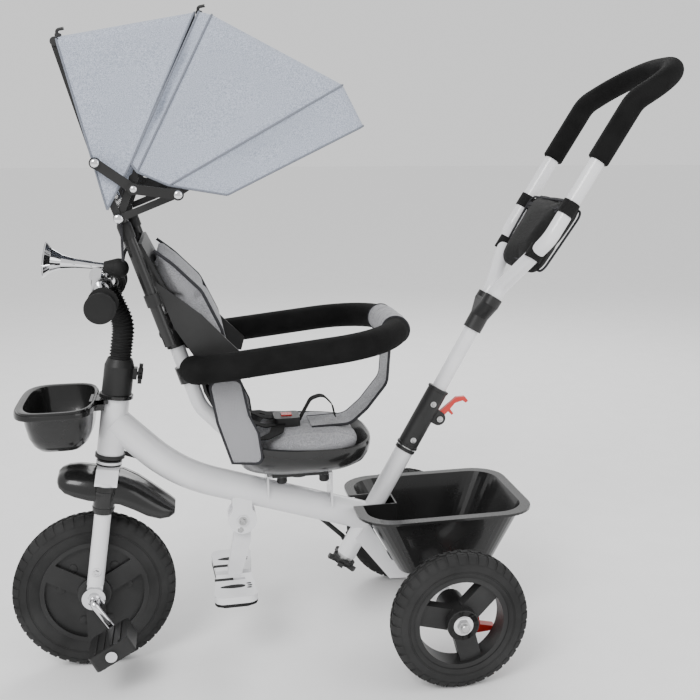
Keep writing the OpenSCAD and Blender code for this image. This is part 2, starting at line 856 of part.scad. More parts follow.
module handle_y_joint() {
    color("#1a1a1c") difference() {
        union() {
            handle_frame() translate([0, 0, y_joint_a]) cylinder(d = handle_d + 7, h = 34);
            hull() {
                handle_frame() translate([0, 0, y_joint_a + 24])
                    cylinder(d = handle_d + 6, h = 8, $fn = hull_fn);
                bow_frame() for (side = [-1, 1]) translate([0, side * bow_root, -14])
                    cylinder(d = handle_d + 6, h = 6, $fn = hull_fn);
            }
            bow_frame() for (side = [-1, 1]) translate([0, side * bow_root, -14])
                cylinder(d = handle_d + 7, h = 16);
        }
        handle_frame() translate([0, 0, y_joint_a - 1]) cylinder(d = handle_d, h = 19);
        bow_frame() for (side = [-1, 1]) translate([0, side * bow_root, -12])
            cylinder(d = handle_d, h = 40);
    }
}

bow_points = [[0, -bow_root, -12], [0, -bow_root, 18], [0, -bow_half, 124], [0, -bow_half, 385],
    [50, -bow_half, 486], [50, bow_half, 486], [0, bow_half, 385], [0, bow_half, 124],
    [0, bow_root, 18], [0, bow_root, -12]];
function foam_points(start) = concat([[0, -bow_half, start]], [for (i = [3:6]) bow_points[i]],
    [[0, bow_half, start]]);
bow_bend_r = 45;
kink_r = 60;
top_r = 88;
bow_radii = [0, bow_bend_r, bow_bend_r, kink_r, top_r, top_r, kink_r, bow_bend_r, bow_bend_r, 0];
foam_radii = [0, kink_r, top_r, top_r, kink_r, 0];
foam_start = 271;

module handle_bow() {
    color("white") bow_frame() bent_tube(bow_points, handle_d, bow_radii);
}

module handle_foam() {
    color("#101011") bow_frame() difference() {
        bent_tube(foam_points(foam_start), foam_d, foam_radii);
        bent_tube(foam_points(foam_start - 20), handle_d, foam_radii);
    }
}

module handle_bag() {
    color("#202023") bow_frame() difference() {
        hull() {
            translate([-6, -62, 84]) rotate([0, 90, 0]) cylinder(r = 14, h = 40, $fn = hull_fn);
            translate([-6, 62, 84]) rotate([0, 90, 0]) cylinder(r = 14, h = 40, $fn = hull_fn);
            translate([2, -82, 196]) rotate([0, 90, 0]) cylinder(r = 8, h = 30, $fn = hull_fn);
            translate([2, 82, 196]) rotate([0, 90, 0]) cylinder(r = 8, h = 30, $fn = hull_fn);
        }
        both_sides() bent_tube([for (i = [0:3]) bow_points[i]], handle_d, bow_bend_r);
    }
}

// ---------------------------------------------------------------- seat

module tube_bar() {
    bent_tube([[seat_x - 20, 0, tube_z], [seat_x - 58, 0, tube_z], back_point(0, 0, 115),
        back_point(0, 0, tube_rise)], seat_tube_d, 60);
}

module swivel_block() {
    color("#202022") {
        difference() {
            translate([seat_x - 46, -38, swivel_z + 0.4]) cube([92, 76, pan_z - swivel_z - 0.4]);
            tube_bar();
        }
        translate([seat_x, 0, swivel_z - plate_t - 5]) cylinder(d = swivel_pin_d, h = plate_t + 6);
        translate([seat_x, 0, swivel_z - plate_t - 6]) cylinder(d = swivel_pin_d + 10, h = 5);
    }
}

module seat_shape(grow, z0, z1) {
    hull() {
        translate([seat_x, 0, z0]) rounded_plate(-78 - grow, 78 + grow, 76 + grow, 60, 1);
        translate([seat_x, 0, (z0 + z1) / 2]) rounded_plate(-112 - grow, 108 + grow,
            pan_half - 12 + grow, 78, 1);
        translate([seat_x, 0, z1 - 1]) rounded_plate(-118 - grow, 116 + grow, pan_half + grow,
            84, 1);
    }
}

module seat_pan() {
    color("#141415") difference() {
        seat_shape(0, pan_z, rim_z);
        seat_shape(-5, pan_z + pan_floor, rim_z + 1);
        tube_bar();
    }
}

module seat_tube() {
    color("white") tube_bar();
}

module back_frame() {
    color("#151516") {
        difference() {
            union() {
                rod(back_point(0, 0, tube_rise - 46), back_point(0, 0, tube_rise + 8),
                    seat_tube_d + 7);
                rod(back_point(0, 0, tube_rise - 104), back_point(0, 0, tube_rise - 78),
                    seat_tube_d + 8);
                rod(back_point(0, -post_y, tube_rise - 4), back_point(0, post_y, tube_rise - 4),
                    rail_d);
            }
            rod(tube_foot, back_point(0, 0, tube_rise), seat_tube_d);
            both_sides() rod(back_point(0, post_y, tube_rise - 30), back_point(0, post_y,
                tube_rise + 40), 17);
        }
        both_sides() {
            rod(back_point(0, post_y, tube_rise - 22), back_point(0, post_y, 424), 17);
            rod([pivot.x, post_y - 9, pivot.z], [pivot.x, canopy_half - 13, pivot.z], 16);
        }
    }
}

// Outline of the seat back, from the cushion up: rear face, then front face
back_rear = [[seat_x - 108, rim_z + 42], [seat_x - 146, rim_z + 118], [seat_x - 168, rim_z + 210],
    [seat_x - 232, rim_z + 345]];
back_front = [[seat_x - 186, rim_z + 313], [seat_x - 146, rim_z + 272], [seat_x - 118, rim_z + 212],
    [seat_x - 106, rim_z + 150], [seat_x - 98, rim_z + 42]];
shell_t = 5;
back_half = 108;

module back_shell() {
    rail = back_point(0, 0, tube_rise - 4);
    color("#18181a") {
        both_sides() difference() {
            translate([rail.x, 34, rail.z - 7]) cube([28, 20, 14]);
            rod(rail, rail + [0, post_y, 0], rail_d);
        }
        slab(-back_half, back_half, concat(back_rear, [for (i = [3:-1:0])
            back_rear[i] - [shell_t, 0]]));
        both_sides() difference() {
            slab(back_half + 1, back_half + 7, [[seat_x - 215, rim_z + 290],
                [seat_x - 150, rim_z + 238], [seat_x - 106, rim_z + 190],
                [seat_x - 76, rim_z + 160], [seat_x - 82, rim_z + 138],
                [seat_x - 145, rim_z + 146], [seat_x - 191, rim_z + 220]]);
            spindle(bumper_hinge.x, bumper_hinge.y, 0, bumper_half, stub_d + 2 * run_gap);
        }
        both_sides() translate([seat_x - 168, back_half - 8, rim_z + 190]) cube([38, 10, 14]);
    }
}

module back_pad() {
    color("#9a9ca2") difference() {
        slab(-back_half, back_half, concat([for (p = back_rear) p + [0.2, 0]], back_front));
        both_sides() translate([seat_x - 180, back_half - 10, rim_z + 188]) cube([52, 20, 18]);
    }
}

module seat_cushion() {
    color("#9a9ca2") {
        hull() {
            translate([seat_x, 0, pan_z + pan_floor]) rounded_plate(-37, 66, 66, 46, 1);
            translate([seat_x, 0, rim_z + 1]) rounded_plate(-70, 98, 102, 60, 28);
        }
        both_sides() slab(back_half + 1, back_half + 9, [[seat_x - 126, rim_z + 34],
            [seat_x - 62, rim_z + 28], [seat_x - 86, rim_z + 80], [seat_x - 96, rim_z + 132],
            [seat_x - 140, rim_z + 134]]);
        both_sides() hull() {
            translate([seat_x - 80, back_half - 30, rim_z + 8]) cube([60, 12, 16]);
            translate([seat_x - 110, back_half + 1, rim_z + 34]) cube([40, 8, 6]);
        }
    }
}

// ---------------------------------------------------------------- bumper bar, crotch panel, harness

bumper_end = [seat_x - 162, rim_z + 160];
bumper_front = [seat_x + 157, rim_z + 194];
bumper_slope = (bumper_front.y - bumper_end.y) / (bumper_front.x - bumper_end.x);
bumper_hinge = [bumper_end.x + 34, bumper_end.y + 34 * bumper_slope];
bumper_tube_d = 19;
stub_d = 14;

module bumper_path(d, from_x) {
    z0 = bumper_end.y + (from_x - bumper_end.x) * bumper_slope;
    bent_tube([[from_x, -bumper_half, z0], [bumper_front.x, -bumper_half, bumper_front.y],
        [bumper_front.x, bumper_half, bumper_front.y], [from_x, bumper_half, z0]], d, 92);
}

module bumper_stubs() {
    both_sides() spindle(bumper_hinge.x, bumper_hinge.y, back_half + 2, bumper_half, stub_d);
}

module bumper_foam() {
    color("#101011") difference() {
        bumper_path(bumper_d, bumper_end.x);
        bumper_path(bumper_tube_d, bumper_end.x - 10);
        bumper_stubs();
    }
}

module bumper_tube() {
    color("silver") {
        bumper_path(bumper_tube_d, bumper_end.x + 4);
        bumper_stubs();
    }
}

module crotch_panel() {
    color("#8e9096") slab(-34, 34, [[seat_x + 146, rim_z + 166], [seat_x + 151, rim_z + 164],
        [seat_x + 151, rim_z + 100], [seat_x + 118, rim_z + 58], [seat_x + 90, rim_z + 33],
        [seat_x + 80, rim_z + 29], [seat_x + 20, rim_z + 29], [seat_x + 20, rim_z + 32.5],
        [seat_x + 84, rim_z + 36],
        [seat_x + 114, rim_z + 62], [seat_x + 146, rim_z + 102]]);
}

module harness() {
    color("#1a1a1b") {
        for (y = [-58, 58]) translate([seat_x - 60, y - 12, rim_z + 29]) cube([52, 24, 3]);
        for (y = [-44, 44]) slab(y - 11, y + 11, [[seat_x - 97, rim_z + 60],
            [seat_x - 94, rim_z + 60], [seat_x - 60, rim_z + 36.5], [seat_x - 62, rim_z + 33.4],
            [seat_x - 97, rim_z + 56]]);
    }
}

buckle_x = seat_x - 18;
buckle_z = rim_z + 32;

module buckle() {
    color("#151516") translate([buckle_x, 0, buckle_z]) difference() {
        hull() for (x = [-14, 14], y = [-17, 17])
            translate([x, y, -3]) cylinder(r = 7, h = 18, $fn = hull_fn);
        translate([-9, -9, 9]) cube([18, 18, 10]);
    }
}

module buckle_button() {
    color("red") translate([buckle_x, 0, buckle_z])
        translate([-8.6, -8.6, 12]) cube([17.2, 17.2, 5]);
}

// ---------------------------------------------------------------- canopy

bow_d = 7;
rear_angle = 107;
mid_angle = 68;
front_angle = 30.5;
brace_y = canopy_half + 11;
brace_t = 3;
rivet_d = 6;
pivot_d = 8;
rear_hole = 82;
front_hole = 89;
front_hole_angle = 22;
rear_hole_angle = 109;

function canopy_point(r, a) = [pivot.x + r * cos(a), pivot.z + r * sin(a)];
function at_y(p, y) = [p.x, y, p.y];

brace_len = 61;
brace_start = -36;
brace_joint = canopy_point(rear_hole, rear_hole_angle)
    + brace_len * [cos(brace_start), sin(brace_start)];

module bow(reach, angle, plane_y, foot_angle, foot_len, bore) {
    foot = canopy_point(foot_len, foot_angle);
    tip = canopy_point(reach, angle);
    both_sides() {
        difference() {
            union() {
                spindle(pivot.x, pivot.z, plane_y - 1.5, plane_y + 1.5, 14);
                along(at_y([pivot.x, pivot.z], plane_y), at_y(foot, plane_y))
                    translate([-5, -1.3, 0]) cube([10, 2.6, norm(foot - [pivot.x, pivot.z])]);
                along(at_y(foot, plane_y), at_y(tip, plane_y))
                    translate([-4, -1.3, 0]) cube([8, 2.6, norm(tip - foot)]);
                spindle(foot.x, foot.y, plane_y - 1.5, plane_y + 1.5, 13);
            }
            if (bore) spindle(pivot.x, pivot.z, plane_y - 5, plane_y + 5, pivot_d + 2 * run_gap);
        }
    }
    rod(at_y(tip, -plane_y - 1.5), at_y(tip, plane_y + 1.5), bow_d);
}

module canopy_rear_bow() {
    pin_a = canopy_point(rear_hole, rear_hole_angle);
    color("#1a1a1c") {
        bow(rear_reach - 8, rear_angle, canopy_half - 6, rear_hole_angle, rear_hole, false);
        both_sides() {
            spindle(pivot.x, pivot.z, canopy_half - 13, canopy_half + 1, pivot_d);
            spindle(pivot.x, pivot.z, canopy_half + 0.4, canopy_half + 3, 13);
            spindle(pin_a.x, pin_a.y, canopy_half - 5, brace_y + brace_t + 0.6, rivet_d);
            spindle(pin_a.x, pin_a.y, brace_y + brace_t + 0.4, brace_y + brace_t + 2.4, 11);
        }
    }
}

module canopy_mid_bow() {
    color("#1a1a1c") bow(mid_reach - 8, mid_angle, canopy_half - 10, mid_angle, 60, true);
}

module canopy_front_bow() {
    pin_c = canopy_point(front_hole, front_hole_angle);
    color("#1a1a1c") {
        bow(front_reach - 6, front_angle, canopy_half - 2, front_hole_angle, front_hole, true);
        both_sides() {
            spindle(pin_c.x, pin_c.y, canopy_half - 1, brace_y + 2 * brace_t + 1.2, rivet_d);
            spindle(pin_c.x, pin_c.y, brace_y + 2 * brace_t + 1, brace_y + 2 * brace_t + 3, 11);
        }
    }
}

// A cloth over the canopy, from its inner edge to its outer one, each as reaches and angles
module cloth(half, inner, outer) {
    last = outer[len(outer) - 1];
    difference() {
        slab(-half - cloth_t, half + cloth_t,
            [for (p = concat(inner, outer)) canopy_point(p[0], p[1])]);
        slab(-half, half, concat([[pivot.x, pivot.z]],
            [canopy_point(outer[0][0] - cloth_t, outer[0][1] - 25)],
            [for (p = outer) canopy_point(p[0] - cloth_t, p[1])],
            [canopy_point(last[0] - cloth_t, last[1] + 25)]));
    }
}

module canopy_rear_cloth() {
    top = rear_angle - 1.5;
    color("#8f98a8") cloth(canopy_half + 3, [[105, top], [105, mid_angle]],
        [[mid_reach, mid_angle], [rear_reach + 2, top]]);
}

module canopy_front_cloth() {
    top = mid_angle - 3;
    color("#8f98a8") cloth(canopy_half + 7, [[105, top], [150, 13]], [[front_reach + 6,
        front_angle - 10], [front_reach + 4, front_angle], [mid_reach + 8, top]]);
}

module brace(from, to, y0) {
    difference() {
        union() {
            both_sides() {
                spindle(from.x, from.y, y0, y0 + brace_t, 16);
                spindle(to.x, to.y, y0, y0 + brace_t, 16);
                along(at_y(from, y0 + brace_t / 2), at_y(to, y0 + brace_t / 2))
                    translate([-7, -1.3, 0]) cube([14, 2.6, norm(to - from)]);
            }
        }
        both_sides() spindle(from.x, from.y, y0 - 5, y0 + 10, rivet_d + 2 * run_gap);
    }
}

module brace_rear() {
    color("#1a1a1c") brace(canopy_point(rear_hole, rear_hole_angle), brace_joint, brace_y);
}

module brace_front() {
    color("#1a1a1c") brace(canopy_point(front_hole, front_hole_angle), brace_joint,
        brace_y + brace_t + 0.6);
}

place() main_frame();
place() rear_axle();
place() rear_basket();
place() brake_housings();
place() front_basket();
place() headset_cups();
place() seat_bracket();
place() footrest_bracket();
place() fork();
place() fork_dropouts();
place() front_fender();
place() stem_collar();
place() stem_bellows();
place() handlebar();
place() handlebar_grips();
place() horn_trumpet();
place() horn_bulb();
place() stem_knob();
place() front_tyre();
place() front_rim();
place() crank();
place() pedal_left();
place() pedal_right();
place() rear_tyre_left();
place() rear_tyre_right();
place() rear_rim_left();
place() rear_rim_right();
place() brake_pedal_left();
place() brake_pedal_right();
place() steering_tube();
place() handle_clamp();
place() handle_arm();
place() release_lever();
place() handle_tube();
place() handle_y_joint();
place() handle_bow();
place() handle_foam();
place() handle_bag();
place() steering_rod();
place() footrest();
place() swivel_block();
place() seat_pan();
place() seat_tube();
place() back_frame();
place() back_shell();
place() seat_cushion();
place() back_pad();
place() canopy_rear_bow();
place() canopy_mid_bow();
place() canopy_front_bow();
place() canopy_rear_cloth();
place() canopy_front_cloth();
place() brace_rear();
place() brace_front();
place() bumper_tube();
place() bumper_foam();
place() crotch_panel();
place() harness();
place() buckle();
place() buckle_button();
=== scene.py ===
# %% [markdown]
# # A children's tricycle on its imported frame
# The CAD model is the fixed frame. This lesson gives its parts their materials, and replaces soft or moulded
# nodes with detailed pieces. Lengths here are in millimetres and become metres as each mesh is made.

# %%
import bpy, bmesh, math
from mathutils import Matrix, Vector


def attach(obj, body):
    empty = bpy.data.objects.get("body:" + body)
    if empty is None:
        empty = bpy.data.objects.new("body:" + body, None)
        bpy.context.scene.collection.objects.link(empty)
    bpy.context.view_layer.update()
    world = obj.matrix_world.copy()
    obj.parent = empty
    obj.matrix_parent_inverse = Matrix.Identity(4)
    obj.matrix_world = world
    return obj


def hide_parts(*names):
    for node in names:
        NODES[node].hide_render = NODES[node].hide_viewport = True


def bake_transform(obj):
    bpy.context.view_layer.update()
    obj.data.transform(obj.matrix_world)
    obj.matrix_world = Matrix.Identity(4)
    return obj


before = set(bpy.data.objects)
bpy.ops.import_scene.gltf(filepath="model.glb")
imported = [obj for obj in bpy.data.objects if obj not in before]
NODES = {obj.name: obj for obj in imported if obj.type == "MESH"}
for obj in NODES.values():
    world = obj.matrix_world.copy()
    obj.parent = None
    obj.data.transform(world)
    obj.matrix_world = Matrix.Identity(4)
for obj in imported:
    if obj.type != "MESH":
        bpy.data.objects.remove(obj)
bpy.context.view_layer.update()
MM = 0.001
MIDDLE = Vector((16, 0, 0))

# %% [markdown]
# ## Directions of the steering axis and of the push handle
# The same sizes as in the CAD source, so that a piece can be placed along either axis.

# %%
RAKE, TILT, KINK, LEAN = (math.radians(a) for a in (8.5, 60, 2.5, 18))
FRONT = Vector((-446, 0, 127))
REAR = Vector((110, 0, 109))
CROWN_S, HEAD_S, COLLAR_S, NECK_S, BAR_S = 187, 227.5, 326, 439, 511
SEAT_X, PAN_Z, RIM_Z = -113, 318.4, 350.4
PIVOT = Vector((-372.7, 0, 735.1))


def steer(x, y, s):
    return FRONT + Vector((x * math.cos(RAKE) + s * math.sin(RAKE), y, s * math.cos(RAKE) - x * math.sin(RAKE)))


def handle(e, y, a):
    return Vector((-34 + e * math.sin(TILT) + a * math.cos(TILT), y, 144 - e * math.cos(TILT) + a * math.sin(TILT)))


def bow(e, y, u):
    k = math.pi / 2 - TILT + KINK
    return handle(0, y, 507) + Vector((u * math.sin(k) + e * math.cos(k), 0, u * math.cos(k) - e * math.sin(k)))


def back(x, y, rise):
    return Vector((-232 + x * math.cos(LEAN) - rise * math.tan(LEAN), y, 305.4 + x * math.sin(LEAN) + rise))


def canopy(r, angle, y=0):
    a = math.radians(angle)
    return Vector((PIVOT.x + r * math.cos(a), y, PIVOT.z + r * math.sin(a)))


def seat(x, y, up):
    return Vector((SEAT_X + x, y, RIM_Z + up))


STEER_AXIS = (steer(0, 0, 1) - steer(0, 0, 0)).normalized()
HANDLE_AXIS = (handle(0, 0, 1) - handle(0, 0, 0)).normalized()
Y = Vector((0, 1, 0))

# %% [markdown]
# ## Mesh helpers
# A Shape collects vertices and faces. Each face carries the index of its material, so one piece can hold several.

# %%
class Shape:
    def __init__(self):
        self.verts, self.faces, self.mats = [], [], []

    def add(self, verts, faces, mat=0):
        n = len(self.verts)
        self.verts += [Vector(v) for v in verts]
        self.faces += [tuple(i + n for i in f) for f in faces]
        self.mats += [mat] * len(faces)
        return self

    def grid(self, rows, mat=0, close_u=False, close_v=False, caps=False):
        """rows of points become quads; close_u joins the last row to the first, close_v the ends of each row."""
        nu, nv = len(rows), len(rows[0])
        verts = [p for row in rows for p in row]
        faces = [(u * nv + v, u * nv + (v + 1) % nv, (u + 1) % nu * nv + (v + 1) % nv, (u + 1) % nu * nv + v)
                 for u in range(nu if close_u else nu - 1) for v in range(nv if close_v else nv - 1)]
        if caps:
            faces += [tuple(reversed(range(nv))), tuple((nu - 1) * nv + v for v in range(nv))]
        return self.add(verts, faces, mat)

    def lathe(self, profile, origin, axis, mat=0, n=64):
        """profile is (radius, height) pairs turned about axis at origin; a zero radius closes an end."""
        z = Vector(axis).normalized()
        x = (Y if abs(z.y) < 0.9 else Vector((1, 0, 0))).cross(z).normalized()
        y = z.cross(x)
        rows = [[Vector(origin) + z * h + (x * math.cos(t) + y * math.sin(t)) * r
                 for t in (2 * math.pi * k / n for k in range(n))] for r, h in profile]
        return self.grid(rows, mat, close_v=True)

    def tube(self, path, radius, mat=0, n=20, closed=False, caps=True):
        """radius is a number or a function of the distance along the path."""
        path = [Vector(p) for p in path]
        count = len(path)
        rows, side, along = [], None, 0
        for i, p in enumerate(path):
            before = path[i - 1] if i or closed else p
            after = path[(i + 1) % count] if i < count - 1 or closed else p
            t = (after - before).normalized()
            if side is None:
                side = t.cross(Vector((0.3, 0.2, 1))).normalized()
            side = (side - t * side.dot(t)).normalized()
            up = t.cross(side)
            if i:
                along += (p - path[i - 1]).length
            r = radius(along) if callable(radius) else radius
            rows.append([p + (side * math.cos(a) + up * math.sin(a)) * r
                         for a in (2 * math.pi * k / n for k in range(n))])
        return self.grid(rows, mat, close_u=closed, close_v=True, caps=caps and not closed)

    def box(self, origin, x, y, z, mat=0):
        """a box centred on origin, with three half-side vectors"""
        o, x, y, z = Vector(origin), Vector(x), Vector(y), Vector(z)
        verts = [o + a * x + b * y + c * z for a in (-1, 1) for b in (-1, 1) for c in (-1, 1)]
        return self.add(verts, [(0, 1, 3, 2), (4, 6, 7, 5), (0, 4, 5, 1), (2, 3, 7, 6), (0, 2, 6, 4), (1, 5, 7, 3)], mat)

    def strap(self, path, across, half, thick, mat=0):
        """a flat band along path; across is its width direction"""
        across = Vector(across).normalized()
        rows = []
        for i, p in enumerate(path):
            t = (Vector(path[min(i + 1, len(path) - 1)]) - Vector(path[max(i - 1, 0)])).normalized()
            out = t.cross(across).normalized() * thick / 2
            rows.append([Vector(p) + across * a * half + out * b for a, b in ((-1, -1), (1, -1), (1, 1), (-1, 1))])
        return self.grid(rows, mat, close_v=True, caps=True)


def rounded(points, radii, steps=8):
    """the path through points with each inner corner turned into an arc, all of one radius or each of its own"""
    points = [Vector(p) for p in points]
    out = [points[0]]
    if not isinstance(radii, (list, tuple)):
        radii = [radii] * len(points)
    for a, b, c, r in zip(points, points[1:], points[2:], radii):
        u, w = (b - a).normalized(), (c - b).normalized()
        turn = math.acos(max(-1, min(1, u.dot(w))))
        if turn < 0.02:
            out.append(b)
            continue
        cut = min(r * math.tan(turn / 2), (b - a).length * 0.9, (c - b).length * 0.9)
        p, q = b - u * cut, b + w * cut
        centre = b + (w - u).normalized() * cut / math.sin(turn / 2)
        axis = u.cross(w).normalized()
        out += [centre + Matrix.Rotation(turn * k / steps, 3, axis) @ (p - centre) for k in range(steps + 1)]
    return out + [points[-1]]


def dense(path, step):
    """the same path with points no further apart than step"""
    out = []
    for a, b in zip(path, path[1:]):
        n = max(1, math.ceil((Vector(b) - Vector(a)).length / step))
        out += [Vector(a).lerp(Vector(b), k / n) for k in range(n)]
    return out + [Vector(path[-1])]


def piece(name, shape, mats, body=None, nodes=(), smooth=40, origin=MIDDLE):
    """makes the object in metres, shades it, and sets it on its body"""
    mesh = bpy.data.meshes.new(name)
    mesh.from_pydata([(v + origin) * MM for v in shape.verts], [], shape.faces)
    for m in mats:
        mesh.materials.append(m)
    mesh.polygons.foreach_set("material_index", shape.mats)
    bm = bmesh.new()
    bm.from_mesh(mesh)
    bmesh.ops.remove_doubles(bm, verts=bm.verts, dist=1e-5)
    bmesh.ops.recalc_face_normals(bm, faces=bm.faces)
    bm.to_mesh(mesh)
    bm.free()
    obj = bpy.data.objects.new(name, mesh)
    bpy.context.scene.collection.objects.link(obj)
    shade(obj, smooth)
    if body:
        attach(obj, body)
    if nodes:
        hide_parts(*nodes)
    return obj


def bake(obj):
    """replaces the object's mesh by what its modifiers make of it"""
    if obj.modifiers:
        graph = bpy.context.evaluated_depsgraph_get()
        mesh = bpy.data.meshes.new_from_object(obj.evaluated_get(graph))
        obj.modifiers.clear()
        obj.data = mesh


def shade(obj, angle):
    obj.data.polygons.foreach_set("use_smooth", [True] * len(obj.data.polygons))
    obj.data.set_sharp_from_angle(angle=math.radians(angle))


# %% [markdown]
# ## Shader groups
# Each group gives a height and a shade from the object's own coordinates. Bump, colour and roughness stay in
# the material.

# %%
def node_group(name, inputs, outputs):
    group = bpy.data.node_groups.new(name, "ShaderNodeTree")
    for label, kind, value in inputs:
        s = group.interface.new_socket(label, in_out="INPUT", socket_type=kind)
        if value is not None:
            s.default_value = value
    for label in outputs:
        group.interface.new_socket(label, in_out="OUTPUT", socket_type="NodeSocketFloat")
    return group, group.nodes.new("NodeGroupInput"), group.nodes.new("NodeGroupOutput")


def math_node(tree, op, a, b=None):
    n = tree.nodes.new("ShaderNodeMath")
    n.operation = op
    for socket, value in zip(n.inputs, (a, b)):
        if value is None:
            continue
        if isinstance(value, (int, float)):
            socket.default_value = value
        else:
            tree.links.new(value, socket)
    return n.outputs[0]


def noise(tree, vector, scale, detail=3):
    n = tree.nodes.new("ShaderNodeTexNoise")
    n.inputs["Detail"].default_value = detail
    if isinstance(scale, (int, float)):
        n.inputs["Scale"].default_value = scale
    else:
        tree.links.new(scale, n.inputs["Scale"])
    tree.links.new(vector, n.inputs["Vector"])
    return n.outputs[0]


def coordinates(tree):
    return tree.nodes.new("ShaderNodeTexCoord").outputs["Object"]


def make_weave():
    """crossing threads on any plane, and the uneven shade of a melange yarn"""
    g, i, o = node_group("Weave", [("Threads", "NodeSocketFloat", 900.0)], ["Height", "Shade"])
    vector = coordinates(g)
    split = g.nodes.new("ShaderNodeSeparateXYZ")
    g.links.new(vector, split.inputs[0])
    waves = [math_node(g, "SINE", math_node(g, "MULTIPLY", split.outputs[k], math_node(g, "MULTIPLY", i.outputs[0], 3.1)))
             for k in range(3)]
    pairs = [math_node(g, "MULTIPLY", waves[a], waves[b]) for a, b in ((0, 1), (1, 2), (2, 0))]
    total = math_node(g, "ADD", math_node(g, "ADD", pairs[0], pairs[1]), pairs[2])
    g.links.new(math_node(g, "ADD", math_node(g, "MULTIPLY", total, 0.4), 0.5), o.inputs["Height"])
    stretch = g.nodes.new("ShaderNodeMapping")
    stretch.inputs["Scale"].default_value = (1.0, 0.16, 1.0)
    g.links.new(vector, stretch.inputs["Vector"])
    g.links.new(noise(g, stretch.outputs[0], i.outputs[0], 4), o.inputs["Shade"])
    return g


def make_grain():
    """the fine grain of a moulded or coated surface, and broad slight wear"""
    g, i, o = node_group("Grain", [("Scale", "NodeSocketFloat", 1500.0)], ["Height", "Shade"])
    vector = coordinates(g)
    g.links.new(noise(g, vector, i.outputs[0], 2), o.inputs["Height"])
    g.links.new(noise(g, vector, 14.0, 6), o.inputs["Shade"])
    return g


def make_ribs():
    """ribs of a ribbed skin across a tube, whichever way it runs"""
    g, i, o = node_group("Ribs", [("Scale", "NodeSocketFloat", 1500.0)], ["Height", "Shade"])
    vector = coordinates(g)
    wave = g.nodes.new("ShaderNodeTexWave")
    wave.bands_direction = "DIAGONAL"
    wave.inputs["Distortion"].default_value = 0.4
    g.links.new(math_node(g, "MULTIPLY", i.outputs[0], 0.2), wave.inputs["Scale"])
    g.links.new(vector, wave.inputs["Vector"])
    g.links.new(wave.outputs["Fac"], o.inputs["Height"])
    g.links.new(noise(g, vector, 30.0, 5), o.inputs["Shade"])
    return g


WEAVE, GRAIN, RIBS = make_weave(), make_grain(), make_ribs()


def material(name, group, scale, dark, light, rough, bump, depth=0.2, metal=0.0, coat=0.0, spread=0.08, sheen=0.0):
    m = bpy.data.materials.new(name)
    m.use_nodes = True
    t = m.node_tree
    shader = t.nodes["Principled BSDF"]
    g = t.nodes.new("ShaderNodeGroup")
    g.node_tree = group
    g.inputs[0].default_value = scale
    ramp = t.nodes.new("ShaderNodeValToRGB")
    ramp.color_ramp.elements[0].position, ramp.color_ramp.elements[1].position = 0.36, 0.66
    ramp.color_ramp.elements[0].color, ramp.color_ramp.elements[1].color = (*dark, 1), (*light, 1)
    t.links.new(g.outputs["Shade"], ramp.inputs[0])
    t.links.new(ramp.outputs[0], shader.inputs["Base Color"])
    roughness = math_node(t, "ADD", math_node(t, "MULTIPLY", g.outputs["Shade"], spread), rough - spread / 2)
    t.links.new(roughness, shader.inputs["Roughness"])
    b = t.nodes.new("ShaderNodeBump")
    b.inputs["Strength"].default_value, b.inputs["Distance"].default_value = bump, depth * MM
    t.links.new(g.outputs["Height"], b.inputs["Height"])
    t.links.new(b.outputs[0], shader.inputs["Normal"])
    shader.inputs["Metallic"].default_value = metal
    shader.inputs["Coat Weight"].default_value = coat
    shader.inputs["Coat Roughness"].default_value = 0.06
    shader.inputs["Sheen Weight"].default_value = sheen
    if max(light) < 0.06:
        shader.inputs["Specular IOR Level"].default_value = 0.12 if rough > 0.5 else 0.3
    return m


def grey(v, tint=1.0):
    return (v, v, v * tint)


white = material("White paint", GRAIN, 500, grey(0.78, 1.02), grey(0.84, 1.02), 0.24, 0.05, coat=0.5)
white_plastic = material("White plastic", GRAIN, 1800, grey(0.74, 1.02), grey(0.8, 1.02), 0.35, 0.15)
steel = material("Zinc steel", GRAIN, 900, grey(0.45), grey(0.6), 0.32, 0.1, metal=1.0)
chrome = material("Chrome", GRAIN, 300, grey(0.74, 1.02), grey(0.8, 1.02), 0.08, 0.02, metal=1.0, spread=0.05)
gloss_black = material("Gloss black plastic", GRAIN, 700, grey(0.011), grey(0.016), 0.2, 0.1, coat=0.25)
satin_black = material("Satin black plastic", GRAIN, 1500, grey(0.016), grey(0.026), 0.42, 0.35)
black_paint = material("Black paint", GRAIN, 600, grey(0.014), grey(0.02), 0.3, 0.05, coat=0.2)
tyre_foam = material("Tyre foam", GRAIN, 900, grey(0.022), grey(0.036), 0.72, 0.6, 0.3)
rubber = material("Rubber", GRAIN, 1200, grey(0.014), grey(0.022), 0.6, 0.4)
foam = material("Foam", RIBS, 1700, grey(0.005), grey(0.009), 0.85, 0.5, 0.3)
red = material("Red plastic", GRAIN, 900, (0.52, 0.012, 0.01), (0.66, 0.025, 0.015), 0.28, 0.1, coat=0.3)
melange = material("Grey melange", WEAVE, 900, grey(0.17, 1.05), grey(0.4, 1.05), 0.9, 0.55, 0.35, sheen=0.25)
canopy_cloth = material("Canopy cloth", WEAVE, 800, (0.27, 0.3, 0.37), (0.5, 0.54, 0.63), 0.88, 0.5, 0.35, sheen=0.2)
bag_cloth = material("Bag nylon", WEAVE, 1100, grey(0.008), grey(0.018), 0.7, 0.6, 0.35)
piping = material("Dark piping", WEAVE, 1400, grey(0.02, 1.1), grey(0.05, 1.1), 0.8, 0.4)
seam_cloth = material("Canopy seam", WEAVE, 1400, (0.12, 0.13, 0.16), (0.24, 0.26, 0.3), 0.85, 0.4)
webbing = material("Webbing", WEAVE, 700, grey(0.008), grey(0.016), 0.75, 0.8, 0.5)


